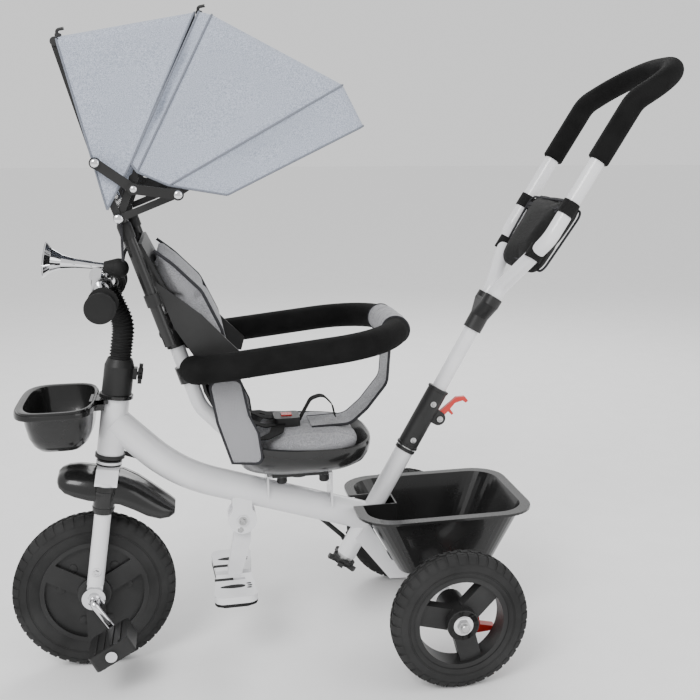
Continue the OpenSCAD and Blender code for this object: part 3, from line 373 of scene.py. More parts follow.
def make_net():
    m = material("Net", WEAVE, 900, grey(0.01), grey(0.02), 0.85, 0.4)
    t = m.node_tree
    cells = t.nodes.new("ShaderNodeTexVoronoi")
    cells.inputs["Scale"].default_value = 420.0
    cells.inputs["Randomness"].default_value = 0.25
    t.links.new(coordinates(t), cells.inputs["Vector"])
    t.links.new(math_node(t, "GREATER_THAN", cells.outputs["Distance"], 0.42), t.nodes["Principled BSDF"].inputs["Alpha"])
    return m


net = make_net()

# %% [markdown]
# ## Materials of the CAD parts that stay
# Hard edges get a small bevel, which the CAD part doesn't draw.

# %%
CAD_LOOKS = [
    (white, 1.0, "main_frame seat_bracket footrest_bracket fork handle_tube handle_bow seat_tube"),
    (white_plastic, 1.5, "footrest"),
    (steel, 0.5, "rear_axle steering_tube bumper_tube"),
    (chrome, 0.8, "fork_dropouts handlebar horn_trumpet crank"),
    (gloss_black, 1.2, "rear_basket front_basket seat_pan"),
    (satin_black, 0.8, "brake_housings headset_cups handle_clamp handle_arm handle_y_joint swivel_block buckle"),
    (satin_black, 1.2, "back_shell pedal_left pedal_right front_rim rear_rim_left rear_rim_right stem_knob stem_collar"),
    (red, 1.2, "brake_pedal_left brake_pedal_right release_lever buckle_button"),
    (black_paint, 0.5, "steering_rod back_frame canopy_rear_bow canopy_mid_bow canopy_front_bow brace_rear brace_front"),
    (rubber, 0.0, "horn_bulb"),
    (webbing, 0.6, "harness"),
]
for look, width, names in CAD_LOOKS:
    for name in names.split():
        obj = NODES[name]
        obj.data.materials.clear()
        obj.data.materials.append(look)
        shade(obj, 32)
        if width:
            m = obj.modifiers.new("edge", "BEVEL")
            m.width, m.segments, m.limit_method, m.angle_limit = width * MM, 2, "ANGLE", math.radians(40)
            m.harden_normals = True

# %% [markdown]
# ## Repeating a block around an axle
# A Geometry Nodes group turns one tread block, rib or bump into a ring of them.

# %%
def make_ring_group():
    g = bpy.data.node_groups.new("Ring", "GeometryNodeTree")
    g.interface.new_socket("Geometry", in_out="INPUT", socket_type="NodeSocketGeometry")
    for label, kind in (("Count", "NodeSocketInt"), ("Centre", "NodeSocketVector"), ("Look", "NodeSocketMaterial")):
        g.interface.new_socket(label, in_out="INPUT", socket_type=kind)
    g.interface.new_socket("Geometry", in_out="OUTPUT", socket_type="NodeSocketGeometry")
    new, link = g.nodes.new, g.links.new
    i, o = new("NodeGroupInput"), new("NodeGroupOutput")
    points, index, xyz = new("GeometryNodePoints"), new("GeometryNodeInputIndex"), new("ShaderNodeCombineXYZ")
    copy, real = new("GeometryNodeInstanceOnPoints"), new("GeometryNodeRealizeInstances")
    place, look = new("GeometryNodeTransform"), new("GeometryNodeSetMaterial")
    link(i.outputs["Count"], points.inputs["Count"])
    step = math_node(g, "DIVIDE", 2 * math.pi, i.outputs["Count"])
    link(math_node(g, "MULTIPLY", index.outputs[0], step), xyz.inputs["Y"])
    link(points.outputs[0], copy.inputs["Points"])
    link(i.outputs["Geometry"], copy.inputs["Instance"])
    link(xyz.outputs[0], copy.inputs["Rotation"])
    link(copy.outputs[0], place.inputs["Geometry"])
    link(i.outputs["Centre"], place.inputs["Translation"])
    link(place.outputs[0], real.inputs[0])
    link(real.outputs[0], look.inputs["Geometry"])
    link(i.outputs["Look"], look.inputs["Material"])
    link(look.outputs[0], o.inputs[0])
    return g


RING = make_ring_group()


def ring(name, block, count, centre, look):
    """count copies of block, modelled about the origin, around the Y direction at centre"""
    obj = piece(name, block, [look], origin=Vector())
    m = obj.modifiers.new("ring", "NODES")
    m.node_group = RING
    values = {"Count": count, "Centre": (Vector(centre) + MIDDLE) * MM, "Look": look}
    for item in RING.interface.items_tree:
        if item.item_type == "SOCKET" and item.in_out == "INPUT" and item.name in values:
            m[item.identifier] = values[item.name]
    bake(obj)
    shade(obj, 35)
    return obj


def join(main, *others):
    """others become part of main's mesh"""
    bm = bmesh.new()
    slots = list(main.data.materials)
    bm.from_mesh(main.data)
    for o in others:
        start = len(bm.faces)
        bm.from_mesh(o.data)
        bm.faces.ensure_lookup_table()
        for m in o.data.materials:
            if m not in slots:
                slots.append(m)
        for f in bm.faces[start:]:
            f.material_index = slots.index(o.data.materials[f.material_index])
        bpy.data.objects.remove(o)
    bm.to_mesh(main.data)
    bm.free()
    main.data.materials.clear()
    for m in slots:
        main.data.materials.append(m)
    return main


# %% [markdown]
# ## Tyres
# A rounded section with two fine lines on the sidewall, and tread blocks on both shoulders and the middle.

# %%
def tyre(name, centre, d, w, rim_d, body):
    half, r, rim = w / 2, d / 2, rim_d / 2
    profile = [(rim, -half + 3), (rim + 3, -half + 0.5), (r - 27, -half + 0.3), (r - 26, -half + 1.6),
               (r - 24, -half + 1.6), (r - 23, -half + 0.4), (r - 14, -half + 1.2), (r - 7, -half + 4.5),
               (r - 3.4, -half + 9), (r - 2.2, -half + 14), (r - 2, 0)]
    profile += [(a, -b) for a, b in reversed(profile[:-1])]
    skin = Shape().lathe(profile, centre, Y, n=160)
    main = piece(name, skin, [tyre_foam], smooth=50)
    blocks = []
    count = round(d * math.pi / 17)
    for side in (-1, 1):
        b = Shape()
        rows = []
        for a in (-0.36, 0.36):
            t = a * 2 * math.pi / count
            section = [(r - 12, half - 1.2), (r - 6, half - 3.6), (r - 1.2, half - 9), (r - 0.4, half - 13),
                       (r - 6, half - 13.5)]
            rows.append([Vector(((q) * math.sin(t), side * y, (q) * math.cos(t))) for q, y in section])
        b.grid(rows, close_v=True, caps=True)
        blocks.append(ring(name + "_block", b, count, centre, tyre_foam))
    for side in (-1, 1):
        b = Shape()
        t = 0.33 * 2 * math.pi / count
        o = 0.5 * 2 * math.pi / count * (side > 0)
        rows = [[Vector((q * math.sin(k + o), side * y, q * math.cos(k + o))) for q, y in
                 ((r - 4, 1.5), (r - 0.1, 2.0), (r - 0.3, half - 14.2), (r - 4, half - 14))] for k in (-t, t)]
        b.grid(rows, close_v=True, caps=True)
        blocks.append(ring(name + "_mid", b, count, centre, tyre_foam))
    join(main, *blocks)
    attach(main, body)
    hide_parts(name)
    return main


tyre("front_tyre", FRONT, 254, 46, 168, "front_wheel").name = "tyre_front"
tyre("rear_tyre_left", REAR + Y * -209, 218, 44, 150, "rear_wheel_left").name = "tyre_rear_near"
tyre("rear_tyre_right", REAR + Y * 209, 218, 44, 150, "rear_wheel_right").name = "tyre_rear_far"

# %% [markdown]
# ## Wheel hubs, nuts and caps

# %%
for side, body in ((-1, "rear_wheel_left"), (1, "rear_wheel_right")):
    hub = Shape()
    out = REAR + Y * side * 235
    hub.lathe([(25, -8), (25, -1.5), (23.5, 0), (16, 0), (15.5, -1), (6.3, -1)], out, Y * side)
    piece("hub_ring" + ("_near" if side < 0 else "_far"), hub, [satin_black], body)
    face = Shape().lathe([(15.4, -0.8), (15.4, 0.4), (14.6, 0.9), (6.3, 0.9)], out, Y * side)
    piece("bearing" + ("_near" if side < 0 else "_far"), face, [chrome], body)
    end = Shape().lathe([(6, 0), (6, 1.2), (4.8, 2.4), (0, 2.6)], REAR + Y * side * 246, Y * side, n=32)
    piece("axle_end" + ("_near" if side < 0 else "_far"), end, [steel], "frame")
disc = Shape()
for side in (-1, 1):
    disc.lathe([(26, -3), (26, 0.4), (24, 1.6), (14, 2.2), (6.2, 2.2)], FRONT + Y * side * 24, Y * side)
    for k in range(3):
        for j in range(2):
            a = math.radians(120 * k + 30 + (-22 if j else 22))
            p = FRONT + Y * side * 13.6 + Vector((math.cos(a), 0, math.sin(a))) * 52
            disc.lathe([(7, -1), (7, 0.6), (5.5, 1.2), (0, 1.2)], p, Y * side, n=24)
piece("front_hub_caps", disc, [satin_black], "front_wheel")

# %% [markdown]
# ## Stem bellows, grips and horn details

# %%
def stem_path():
    low, mid, high = steer(0, 0, COLLAR_S + 57.5), steer(0, 0, NECK_S), steer(-42 * 0.72, 0, NECK_S + 72 * 0.72)
    return dense(rounded([low, mid, high], 60, 12), 1.0)


bellows = Shape().tube(stem_path(), lambda s: 15.2 + 2.3 * max(0.0, math.cos(2 * math.pi * s / 5.2)) ** 0.6, n=40)
piece("bellows", bellows, [rubber], "steering", ["stem_bellows"], smooth=60)


def grip(side):
    foot = steer(-29, side * 103, BAR_S - 26)
    s = Shape()
    n, rows = 48, []
    profile = [(11.1, 0), (16, 0), (16.5, 1), (16.5, 2), (22, 2.2), (22, 7.8), (17, 8.2)]
    profile += [(17 - 1.1 * (k % 2), 12 + k * 3.1) for k in range(15)]
    profile += [(17, 60.5), (22, 61), (22, 66.5), (18, 67), (18, 67.5), (13, 68), (0, 68)]
    for r, h in profile:
        ring_points = []
        for k in range(n):
            a = 2 * math.pi * k / n
            wave = 1 - 0.05 * max(0, math.cos(6 * a)) * (9 < h < 60)
            ring_points.append(foot + Y * side * h + (Vector((math.cos(a), 0, math.sin(a)))) * r * wave)
        rows.append(ring_points)
    s.grid(rows, close_v=True)
    return s


grips = Shape()
for side in (-1, 1):
    g = grip(side)
    grips.add(g.verts, g.faces)
piece("grips", grips, [rubber], "steering", ["handlebar_grips"], smooth=35)
rings = Shape()
for side in (-1, 1):
    d = (steer(-29, side * 92, BAR_S - 26) - steer(-42, side * 36, BAR_S)).normalized()
    start = steer(-42, side * 36, BAR_S)
    rings.lathe([(11, 0), (13.4, 0), (13.4, 7), (11, 7)], start + d * 14, d, n=40)
    rings.lathe([(11, 0), (13.4, 0), (13.4, 6), (11, 6)], start + d * 48, d, n=40)
piece("bar_rings", rings, [satin_black], "steering", smooth=30)
horn = Shape()
mouth = steer(-67.5 - 52, -60, BAR_S + 21)
horn.lathe([(25.4, -2), (26.6, -0.6), (27.6, 0.2), (26.8, 0.9), (25, 0.2)], mouth, -(steer(1, 0, 0) - steer(0, 0, 0)), n=64)
piece("horn_lip", horn, [chrome], "steering")

# %% [markdown]
# ## Fender
# A moulded bat-wing over the wheel, with a ridge along its middle and rims turned down.

# %%
fender = Shape()
FENDER = [(-74, 26, 4, 8), (-70, 36, 9, 18), (-60, 43, 14, 29), (-44, 47, 17, 36), (-24, 50, 16, 38),
          (0, 51, 15, 38), (24, 50, 13, 38), (46, 48, 5, 38), (68, 45, -7, 36), (88, 41, -19, 29),
          (102, 36, -28, 18), (110, 28, -34, 8)]
rows = []
for x, half, up, drop in FENDER:
    row = []
    for j in range(33):
        v = j / 16 - 1
        across = math.sin(v * math.pi / 2)
        row.append(steer(x, across * half, CROWN_S + up - drop * abs(v) ** 2.6 + 3 * max(0, 1 - abs(v) * 5)))
    rows.append(row + [p - STEER_AXIS * 2.6 + Y * (2.0 if p.y < 0 else -2.0) * (abs(p.y) > 20) for p in reversed(row)])
fender.grid(rows, close_v=True, caps=True)
for side in (-1, 1):
    foot = steer(0, side * 40, CROWN_S - 44)
    fender.lathe([(13.1, 0), (16, 0), (16.5, 1), (16.5, 40), (15, 44), (13.1, 44)], foot, STEER_AXIS, n=48)
    for k in range(2):
        fender.lathe([(16.4, 0), (17.2, 0.5), (17.2, 3.5), (16.4, 4)], foot + STEER_AXIS * (6 + 26 * k), STEER_AXIS, n=48)
fender.lathe([(13.2, 0), (20, 0), (19, 9), (16, 11), (13.2, 11)], steer(0, 0, CROWN_S + 22.2), STEER_AXIS, n=48)
piece("fender", fender, [gloss_black], "steering", ["front_fender"], smooth=45)

# %% [markdown]
# ## Front basket and seat bowl
# Both are lofted from rounded outlines, out to the rim, over it and down inside.

# %%
def outline(x0, x1, half, z, power=0.55, n=72, front=None):
    """a rounded outline; z may be a function of the share of the way along x"""
    points = []
    for k in range(n):
        a = 2 * math.pi * k / n
        c, q = math.cos(a), math.sin(a)
        along = math.copysign(abs(c) ** power, c)
        height = z((along + 1) / 2) if callable(z) else z
        points.append(Vector(((x0 + x1) / 2 + (x1 - x0) / 2 * along, half * math.copysign(abs(q) ** power, q), height)))
    return points


basket = Shape()
OUT = [(-497, -467, 40, 375), (-506, -457, 52, 375.6), (-515, -447, 66, 379), (-522, -440, 76, 387),
       (-528, -434, 84, 400), (-532, -431, 90, 420), (-535, -429, 93, 440), (-540, -428, 97, 443),
       (-545, -427, 101, 443.6), (-546, -426.5, 102, 441), (-546, -426.5, 102, 436)]
IN = [(-544, -428, 100, 436), (-543.5, -428.5, 99.5, 441), (-543, -429, 99, 447), (-538, -431, 95, 447.6),
      (-533, -433, 90.5, 446)]
BACK = [(x0 + 3, x1 - 3, half - 3, z + 2.6) for x0, x1, half, z in reversed(OUT[:7])]
rows = [outline(*o) for o in OUT] + [outline(*o) for o in IN] + [outline(*o) for o in BACK]
basket.grid(rows, close_v=True, caps=True)
basket.lathe([(21.1, 0), (26, 0), (26, 5.6), (25, 6.4), (21.1, 6.4)], steer(0, 0, HEAD_S + 92.3), STEER_AXIS, n=56)
basket.box(Vector((-424, 0, 441)), (14, 0, 0), (0, 24, 0), (0, 0, 3))
for side in (-1, 1):
    basket.box(Vector((-424, side * 22, 436)), (8, 0, 0), (0, 2, 0), (0, 0, 8))
piece("front_bucket", basket, [gloss_black], "frame", ["front_basket"], smooth=50)


def raised(z):
    """the bowl's rim stands higher at the seat back"""
    return lambda t: z + 14 * (1 - t) ** 2.2


bowl = Shape()
PAN = [(-44, 40, 36, PAN_Z), (-74, 72, 66, PAN_Z + 0.6), (-96, 96, 92, PAN_Z + 6), (-109, 109, 109, PAN_Z + 15),
       (-116, 115, 119, PAN_Z + 27), (-119, 117.5, 124.5, PAN_Z + 41), (-118.5, 117, 124.5, PAN_Z + 48),
       (-115, 114, 121.5, PAN_Z + 49.6), (-112, 110, 119, PAN_Z + 46), (-107, 104, 113, PAN_Z + 26),
       (-92, 90, 96, PAN_Z + 12), (-60, 58, 60, PAN_Z + 9.6), (-20, 18, 18, PAN_Z + 9.4)]
rows = [outline(SEAT_X + x0, SEAT_X + x1, half, raised(z) if z > PAN_Z + 10 else z, 0.72)
        for x0, x1, half, z in PAN]
bowl.grid(rows, close_v=True, caps=True)
piece("seat_bowl", bowl, [gloss_black], "seat", ["seat_pan"], smooth=60)

# %% [markdown]
# ## Foam grips of the push handle and the bumper bar

# %%
BOW_HALF = 103
loop = [bow(0, -BOW_HALF, 271), bow(0, -BOW_HALF, 385), bow(50, -BOW_HALF, 486), bow(50, BOW_HALF, 486),
        bow(0, BOW_HALF, 385), bow(0, BOW_HALF, 271)]


def foam_radius(full, length):
    return lambda s: full - 2.2 * max(0, 1 - min(s, length - s) / 3.0) ** 2 + 0.15 * math.sin(s * 1.6)


def path_length(path):
    return sum((b - a).length for a, b in zip(path, path[1:]))


loop = dense(rounded(loop, (60, 88, 88, 60), 14), 1.5)
piece("handle_grip_foam", Shape().tube(loop, foam_radius(18, path_length(loop)), n=40), [foam], "push_handle",
      ["handle_foam"], smooth=60)
bar = [Vector((x, y, 544.4 + (x - 44) * 34 / 319)) for x, y in
       ((-278, -128), (-278, -150), (44, -150), (44, 150), (-278, 150), (-278, 128))]
bar = dense(rounded(bar, (22, 110, 110, 22), 20), 2.0)
piece("bumper_grip_foam", Shape().tube(bar, foam_radius(21, path_length(bar)), n=40), [foam], "bumper",
      ["bumper_foam"], smooth=60)
sleeve = [p for p in bar if abs(p.y) < 66 and p.x > 0]
cover = Shape().tube(sleeve, lambda s: 22.2 + 0.7 * math.sin(s / 7.0) * math.sin(s / 3.1), 0, n=48, caps=False)
for end in (0, -1):
    p = sleeve[end]
    d = (sleeve[1] - sleeve[0]) if end == 0 else (sleeve[-1] - sleeve[-2])
    cover.lathe([(21.2, -2), (23.2, -1.4), (23.8, 0), (23.2, 1.4), (21.2, 2)], p, d, mat=1, n=48)
piece("bumper_sleeve", cover, [melange, piping], "bumper", smooth=60)

# %% [markdown]
# ## Soft pads
# Each pad starts from a smaller closed form, is remeshed, swells under pressure with its travel capped, and
# then gets its sewn lines.

# %%
def swell(obj, cap, voxel=0.005, pressure=4.0):
    m = obj.modifiers.new("remesh", "REMESH")
    m.mode, m.voxel_size, m.use_smooth_shade = "VOXEL", voxel, True
    bake(obj)
    rest = [v.co.copy() for v in obj.data.vertices]
    m = obj.modifiers.new("cloth", "CLOTH")
    m.settings.use_pressure = True
    m.settings.uniform_pressure_force = pressure
    m.settings.effector_weights.gravity = 0
    m.point_cache.frame_start, m.point_cache.frame_end = 1, 20
    for f in range(1, 21):
        bpy.context.scene.frame_set(f)
    bake(obj)
    for v, p in zip(obj.data.vertices, rest):
        d = v.co - p
        if d.length > cap * MM:
            v.co = p + d.normalized() * cap * MM
    bpy.context.scene.frame_set(1)


def press(obj, depth_at):
    """moves each vertex in along its normal by depth_at(point) millimetres"""
    normals = [v.normal.copy() for v in obj.data.vertices]
    for v, n in zip(obj.data.vertices, normals):
        v.co -= n * depth_at(v.co / MM) * MM


def soften(obj):
    m = obj.modifiers.new("subdivide", "SUBSURF")
    m.levels = m.render_levels = 1
    bake(obj)
    shade(obj, 80)


def groove(distance, depth, width):
    return depth * math.exp(-(distance / width) ** 2)


REARS = [(-108, 42), (-146, 118), (-168, 210), (-232, 345)]
FRONTS = [(-186, 313), (-146, 272), (-118, 212), (-106, 150), (-98, 42)]


def on_face(points, up):
    """how far forward the pad's outline is at a height"""
    points = sorted(points, key=lambda p: p[1])
    for (x0, z0), (x1, z1) in zip(points, points[1:]):
        if z0 <= up <= z1:
            return x0 + (x1 - x0) * (up - z0) / (z1 - z0)
    return points[0][0] if up < points[0][1] else points[-1][0]


def pad_form():
    s, rows = Shape(), []
    for k in range(25):
        up = 50 + (333 - 50) * k / 24
        rear = on_face(REARS, up) + 5
        front = on_face(FRONTS + [(-226, 345)], up) - 7
        front = max(front, rear + 5)
        round_in = 1 - 0.16 * (abs(k - 12) / 12) ** 5
        half = 99 * round_in
        section = []
        for j in range(40):
            a = 2 * math.pi * j / 40
            c, n = math.cos(a), math.sin(a)
            x = math.copysign(abs(c) ** 0.45, c)
            y = math.copysign(abs(n) ** 0.35, n)
            section.append(seat((rear + front) / 2 + (front - rear) / 2 * x, half * y, up))
        rows.append(section)
    return s.grid(rows, close_v=True, caps=True)


pad = piece("back_cushion", pad_form(), [melange, piping])
swell(pad, 7)
SEAMS = (118, 196, 262)
press(pad, lambda p: max(groove(p.z - RIM_Z - up, 5.0, 4.5) for up in SEAMS) * (abs(p.y) < 90)
      + groove(abs(p.y) - 62, 2.5, 4) * (p.z - RIM_Z < 262))
soften(pad)
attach(pad, "seat")
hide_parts("back_pad")


def edge_piping(half, name):
    s = Shape()
    for side in (-1, 1):
        path = [seat(on_face(FRONTS + [(-226, 345)], up) - 3, side * half, up) for up in range(52, 338, 6)]
        s.tube(path, 2.4, n=10)
    return piece(name, s, [piping], "seat", smooth=60)


edge_piping(100, "back_piping")


def cushion_form():
    s, rows = Shape(), []
    for up, x0, x1, half in ((-20, -36, 66, 66), (2, -62, 88, 90), (5, -66, 92, 96), (12, -67, 95, 99),
                             (22, -66, 94, 98), (26, -60, 88, 92)):
        section = []
        for j in range(64):
            a = 2 * math.pi * j / 64
            c, n = math.cos(a), math.sin(a)
            section.append(seat((x0 + x1) / 2 + (x1 - x0) / 2 * math.copysign(abs(c) ** 0.6, c),
                                half * math.copysign(abs(n) ** 0.6, n), up))
        rows.append(section)
    return s.grid(rows, close_v=True, caps=True)


cushion = piece("seat_pad", cushion_form(), [melange])
swell(cushion, 6)
press(cushion, lambda p: groove(abs(p.y) - 60, 3, 5) * (p.z > RIM_Z + 14))
soften(cushion)
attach(cushion, "seat")
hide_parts("seat_cushion")
PANEL = [(-112, 6), (-66, 2), (-72, 50), (-86, 80), (-96, 132), (-104, 137), (-136, 136), (-142, 128), (-132, 70)]
for side, tag in ((-1, "near"), (1, "far")):
    s = Shape()
    edge = rounded([seat(x, side * 112, up) for x, up in PANEL + PANEL[:1]], 9, 4)[:-1]
    middle = sum(edge, Vector()) / len(edge)
    layers = ((1.0, -4.0), (1.0, 3.0), (0.93, 5.0), (0.6, 6.2), (0.25, 6.6))
    rows = [[middle + (p - middle) * k + Y * side * out for p in edge] for k, out in layers]
    s.grid(rows, close_v=True, caps=True)
    s.tube([p + Y * side * 2.5 for p in edge], 2.6, mat=1, n=10, closed=True)
    panel = piece("side_panel_" + tag, s, [melange, piping], "seat", smooth=50)

# %% [markdown]
# ## Bag on the push handle

# %%
def bag_form():
    s, rows = Shape(), []
    for k in range(15):
        t = k / 14
        u = 66 + 138 * t
        half = 64 + 22 * t - 6 * (2 * t - 1) ** 6
        depth = 22 - 3 * t - 9 * (2 * t - 1) ** 8
        e = 13 + 3 * t
        section = []
        for j in range(48):
            a = 2 * math.pi * j / 48
            c, n = math.cos(a), math.sin(a)
            section.append(bow(e + depth * math.copysign(abs(c) ** 0.5, c) * (1 + 0.05 * math.sin(9 * n)),
                               half * math.copysign(abs(n) ** 0.4, n), u))
        rows.append(section)
    return s.grid(rows, close_v=True, caps=True)


bag = piece("bag_body", bag_form(), [bag_cloth])
swell(bag, 5)
soften(bag)
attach(bag, "push_handle")
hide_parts("handle_bag")
trim = Shape()
for e, grow in ((-1.5, 1.0), (31, 0.99)):
    corners = [bow(e, -70 * grow, 77), bow(e, -86 * grow, 194), bow(e, 86 * grow, 194), bow(e, 70 * grow, 77)]
    corners = rounded([(corners[3] + corners[0]) / 2] + corners + [(corners[3] + corners[0]) / 2], 16, 6)[:-1]
    trim.tube(corners, 2.0, n=10, closed=True)
piece("bag_piping", trim, [piping], "push_handle", smooth=60)
zip_line = Shape()
zip_line.strap(dense([bow(-3.6, -72, 176), bow(-3.6, 72, 176)], 6), HANDLE_AXIS, 6, 1.2)
zip_line.tube(dense([bow(-4.6, -70, 176), bow(-4.6, 70, 176)], 3), lambda s: 1.4 + 0.5 * (int(s / 3) % 2), n=8)
piece("bag_zip", zip_line, [piping], "push_handle", smooth=40)
straps = Shape()
for side in (-1, 1):
    for u in (96, 182):
        y = side * (min(BOW_HALF, 19 + 84 * (u - 18) / 106))
        c = bow(0, y, u)
        d = (bow(0, 0, u + 1) - bow(0, 0, u)).normalized()
        straps.lathe([(12.6, -12), (14.4, -12), (14.4, 12), (12.6, 12)], c, d, n=32)
piece("bag_straps", straps, [webbing], "push_handle", smooth=30)

# %% [markdown]
# ## Canopy
# Each cloth is lofted from sections: up one side, round the corner, across and down the other side. Between
# bows the cloth sags a little, and a piped seam runs along each bow and hem.

# %%
def section(low, high, half, dip=0.0, steps=16):
    """low and high are (x, z) of the side's lower edge and the roof"""
    low, high = Vector((low[0], 0, low[1])), Vector((high[0], 0, high[1]))
    up = (high - low).normalized()
    corner = 13.0
    side = [low.lerp(high - up * corner, k / 10)
            + Y * (half - dip * math.sin(math.pi * k / 10) * (1 + 0.25 * math.sin(k * 1.9))) for k in range(11)]
    bend = [high - up * corner * (1 - math.sin(a)) + Y * (half - corner * (1 - math.cos(a)))
            for a in (math.pi / 2 * k / 6 for k in range(1, 7))]
    roof = [high - up * dip * 1.2 * math.sin(math.pi / 2 * k / steps) + Y * (half - corner) * (1 - k / steps)
            for k in range(1, steps + 1)]
    far = side + bend + roof
    return [Vector((p.x, -p.y, p.z)) for p in far] + list(reversed(far[:-1]))


def polar(r, a):
    p = canopy(r, a)
    return p.x, p.z


def loft(stations, halves, per=12, dip=7):
    rows, seams = [], []
    for n, ((l0, h0), (l1, h1)) in enumerate(zip(stations, stations[1:])):
        last = n == len(stations) - 2
        for k in range(per + (1 if last else 0)):
            t = k / per
            low = [a + (b - a) * t for a, b in zip(l0, l1)]
            high = [a + (b - a) * t for a, b in zip(h0, h1)]
            half = halves[n] + (halves[n + 1] - halves[n]) * t
            rows.append(section(low, high, half, dip * math.sin(math.pi * t)))
            if k in (0, per):
                seams.append(rows[-1])
    return rows, seams


def cloth_piece(name, rows, seams, thick=1.0):
    s = Shape()
    outer = rows
    inner = [[p + (Vector((p.x, 0, p.z)) + (PIVOT - Vector((p.x, 0, p.z))) * 0.2 - p).normalized() * thick for p in row]
             for row in rows]
    s.grid(outer)
    s.grid(inner)
    for a, b in ((outer[0], inner[0]), (outer[-1], inner[-1])):
        s.grid([a, b])
    for end in (0, -1):
        s.grid([[row[end] for row in outer], [row[end] for row in inner]])
    for line in seams:
        s.tube(line, 1.5, mat=1, n=8)
    for end in (0, -1):
        s.tube([row[end] for row in rows], 1.6, mat=1, n=8)
    return piece(name, s, [canopy_cloth, seam_cloth], smooth=70)


REAR_LOW, REAR_TOP = (-387, 748), polar(256, 105.8)
MID_LOW, MID_TOP = (-352, 812), polar(306, 68)
rows, seams = loft([(REAR_LOW, REAR_TOP), (MID_LOW, MID_TOP)], [154, 156])
rear_cloth = cloth_piece("canopy_rear", rows, seams)
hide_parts("canopy_rear_cloth")
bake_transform(rear_cloth)

FRONT_LOW, FRONT_TOP = (-302, 781), polar(371, 30.4)
VISOR_LOW, VISOR_TOP = (-222, 767), polar(373, 20.4)
rows, seams = loft([(MID_LOW, polar(309, 67)), ((-344, 800), polar(313, 63.8)), (FRONT_LOW, FRONT_TOP), (VISOR_LOW, VISOR_TOP)],
                   [158, 158.5, 160, 160])
front_cloth = cloth_piece("canopy_front", rows, seams)
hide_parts("canopy_front_cloth")
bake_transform(front_cloth)

s = Shape()
net_rows = []
for k in range(13):
    t = k / 12
    p = canopy(244 - 232 * t, 106.5 - 2 * t) if t < 0.9 else Vector((-370.5, 0, 735 - 60 * (t - 0.9) / 0.1))
    half = 143 - 10 * t
    net_rows.append([Vector((p.x - 3 * math.cos(math.pi * v / 2), v * half, p.z)) for v in (j / 8 - 1 for j in range(17))])
s.grid(net_rows)
s.tube([r[0] for r in net_rows], 2.0, mat=1, n=8)
s.tube([r[-1] for r in net_rows], 2.0, mat=1, n=8)
s.tube(net_rows[-1], 2.4, mat=1, n=8)
back_net = piece("canopy_net", s, [net, piping], "seat", smooth=60)

# %% [markdown]
# ## Rivets, hooks and covers of the canopy's braces

# %%
def rivet(shape, p, out, r, mat=0):
    shape.lathe([(r, -1), (r, 0.4), (r * 0.8, 1.6), (r * 0.4, 2.3), (0, 2.5)], p, out, mat, n=28)


brace_a, brace_c = canopy(82, 109), canopy(89, 22)
brace_b = brace_a + Vector((math.cos(math.radians(-36)), 0, math.sin(math.radians(-36)))) * 61
for name, body, p, y, r in (("rivets_rear", "seat", brace_a, 168.4, 6), ("rivets_front", "canopy_front", brace_c, 172.6, 6),
                            ("rivets_mid", "brace_front", brace_b, 169.6, 5), ("pivot_caps", "seat", PIVOT, 155, 6.5)):
    s = Shape()
    for side in (-1, 1):
        rivet(s, Vector((p.x, side * y, p.z)), Y * side, r)
    piece(name, s, [chrome], body, smooth=50)
s = Shape()
for side in (-1, 1):
    s.lathe([(6, -4), (6.5, -3), (6.5, 3), (6, 4), (0, 4)], canopy(250, 106.5, side * 147), Y * side, n=24)
piece("bow_corner_caps", s, [satin_black], "seat")
for name, body, r, angle in (("hooks_rear", "seat", 258, 105), ("hooks_mid", "canopy_mid", 309, 67)):
    s = Shape()
    for side in (-1, 1):
        p = canopy(r, angle, side * 143)
        s.tube(rounded([p + Vector((0, 0, -4)), p + Vector((-2, side * 2, 6)), p + Vector((8, side * 4, 8))], 4, 5), 2.2, n=10)
        s.lathe([(4.5, -3), (4.5, 1), (3, 2), (0, 2)], p, Vector((0, 0, 1)), n=20)
    piece(name, s, [satin_black], body, smooth=50)
clips = Shape()
for side in (-1, 1):
    low, high = back(0, side * 118, 300), back(0, side * 118, 318)
    clips.lathe([(8.6, 0), (11, 0), (11, 18), (8.6, 18)], low, high - low, n=36)
    top = back(0, side * 118, 412)
    clips.lathe([(8.6, -14), (10.4, -14), (10.4, 6), (9, 10), (0, 11)], top, high - low, n=36)
piece("post_clips", clips, [satin_black], "seat")

# %% [markdown]
# ## Crotch panel, harness and buckle

# %%
s = Shape()
centre_line = [seat(x, 0, up) for x, up in ((20, 32), (84, 34), (112, 58), (146, 100), (150, 150), (152, 172))]
centre_line = dense(rounded(centre_line, 30, 8), 5)
s.strap(centre_line, Y, 33, 3.0)
for side in (-1, 1):
    s.tube([p + Y * side * 33 for p in centre_line], 2.4, mat=1, n=10)
front_panel = piece("crotch_band", s, [melange, piping], smooth=50)
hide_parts("crotch_panel")
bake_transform(front_panel)
s = Shape()
for side in (-1, 1):
    line = [seat(-100, side * 40, 150), seat(-93, side * 38, 90), seat(-84, side * 36, 52), seat(-56, side * 30, 38),
            seat(-34, side * 20, 38)]
    s.strap(dense(rounded(line, 22, 6), 4), Y, 11, 1.6)
    line = [seat(-66, side * 92, 33), seat(-40, side * 60, 34), seat(-32, side * 22, 38)]
    s.strap(dense(rounded(line, 20, 6), 4), Vector((1, 0, 0)), 11, 1.6)
    s.box(seat(-84, side * 36, 54), (3, 0, 9), (0, 15, 0), (3, 0, -1), 1)
line = [seat(3, -6, 40), seat(22, -6, 74), seat(42, -6, 80), seat(58, -6, 62), seat(62, -6, 42)]
s.strap(dense(rounded(line, 14, 6), 3), Y, 10, 1.6)
piece("harness_straps", s, [webbing, satin_black], "seat", ["harness"], smooth=40)

# %% [markdown]
# ## Screws, knobs and rings of the frame

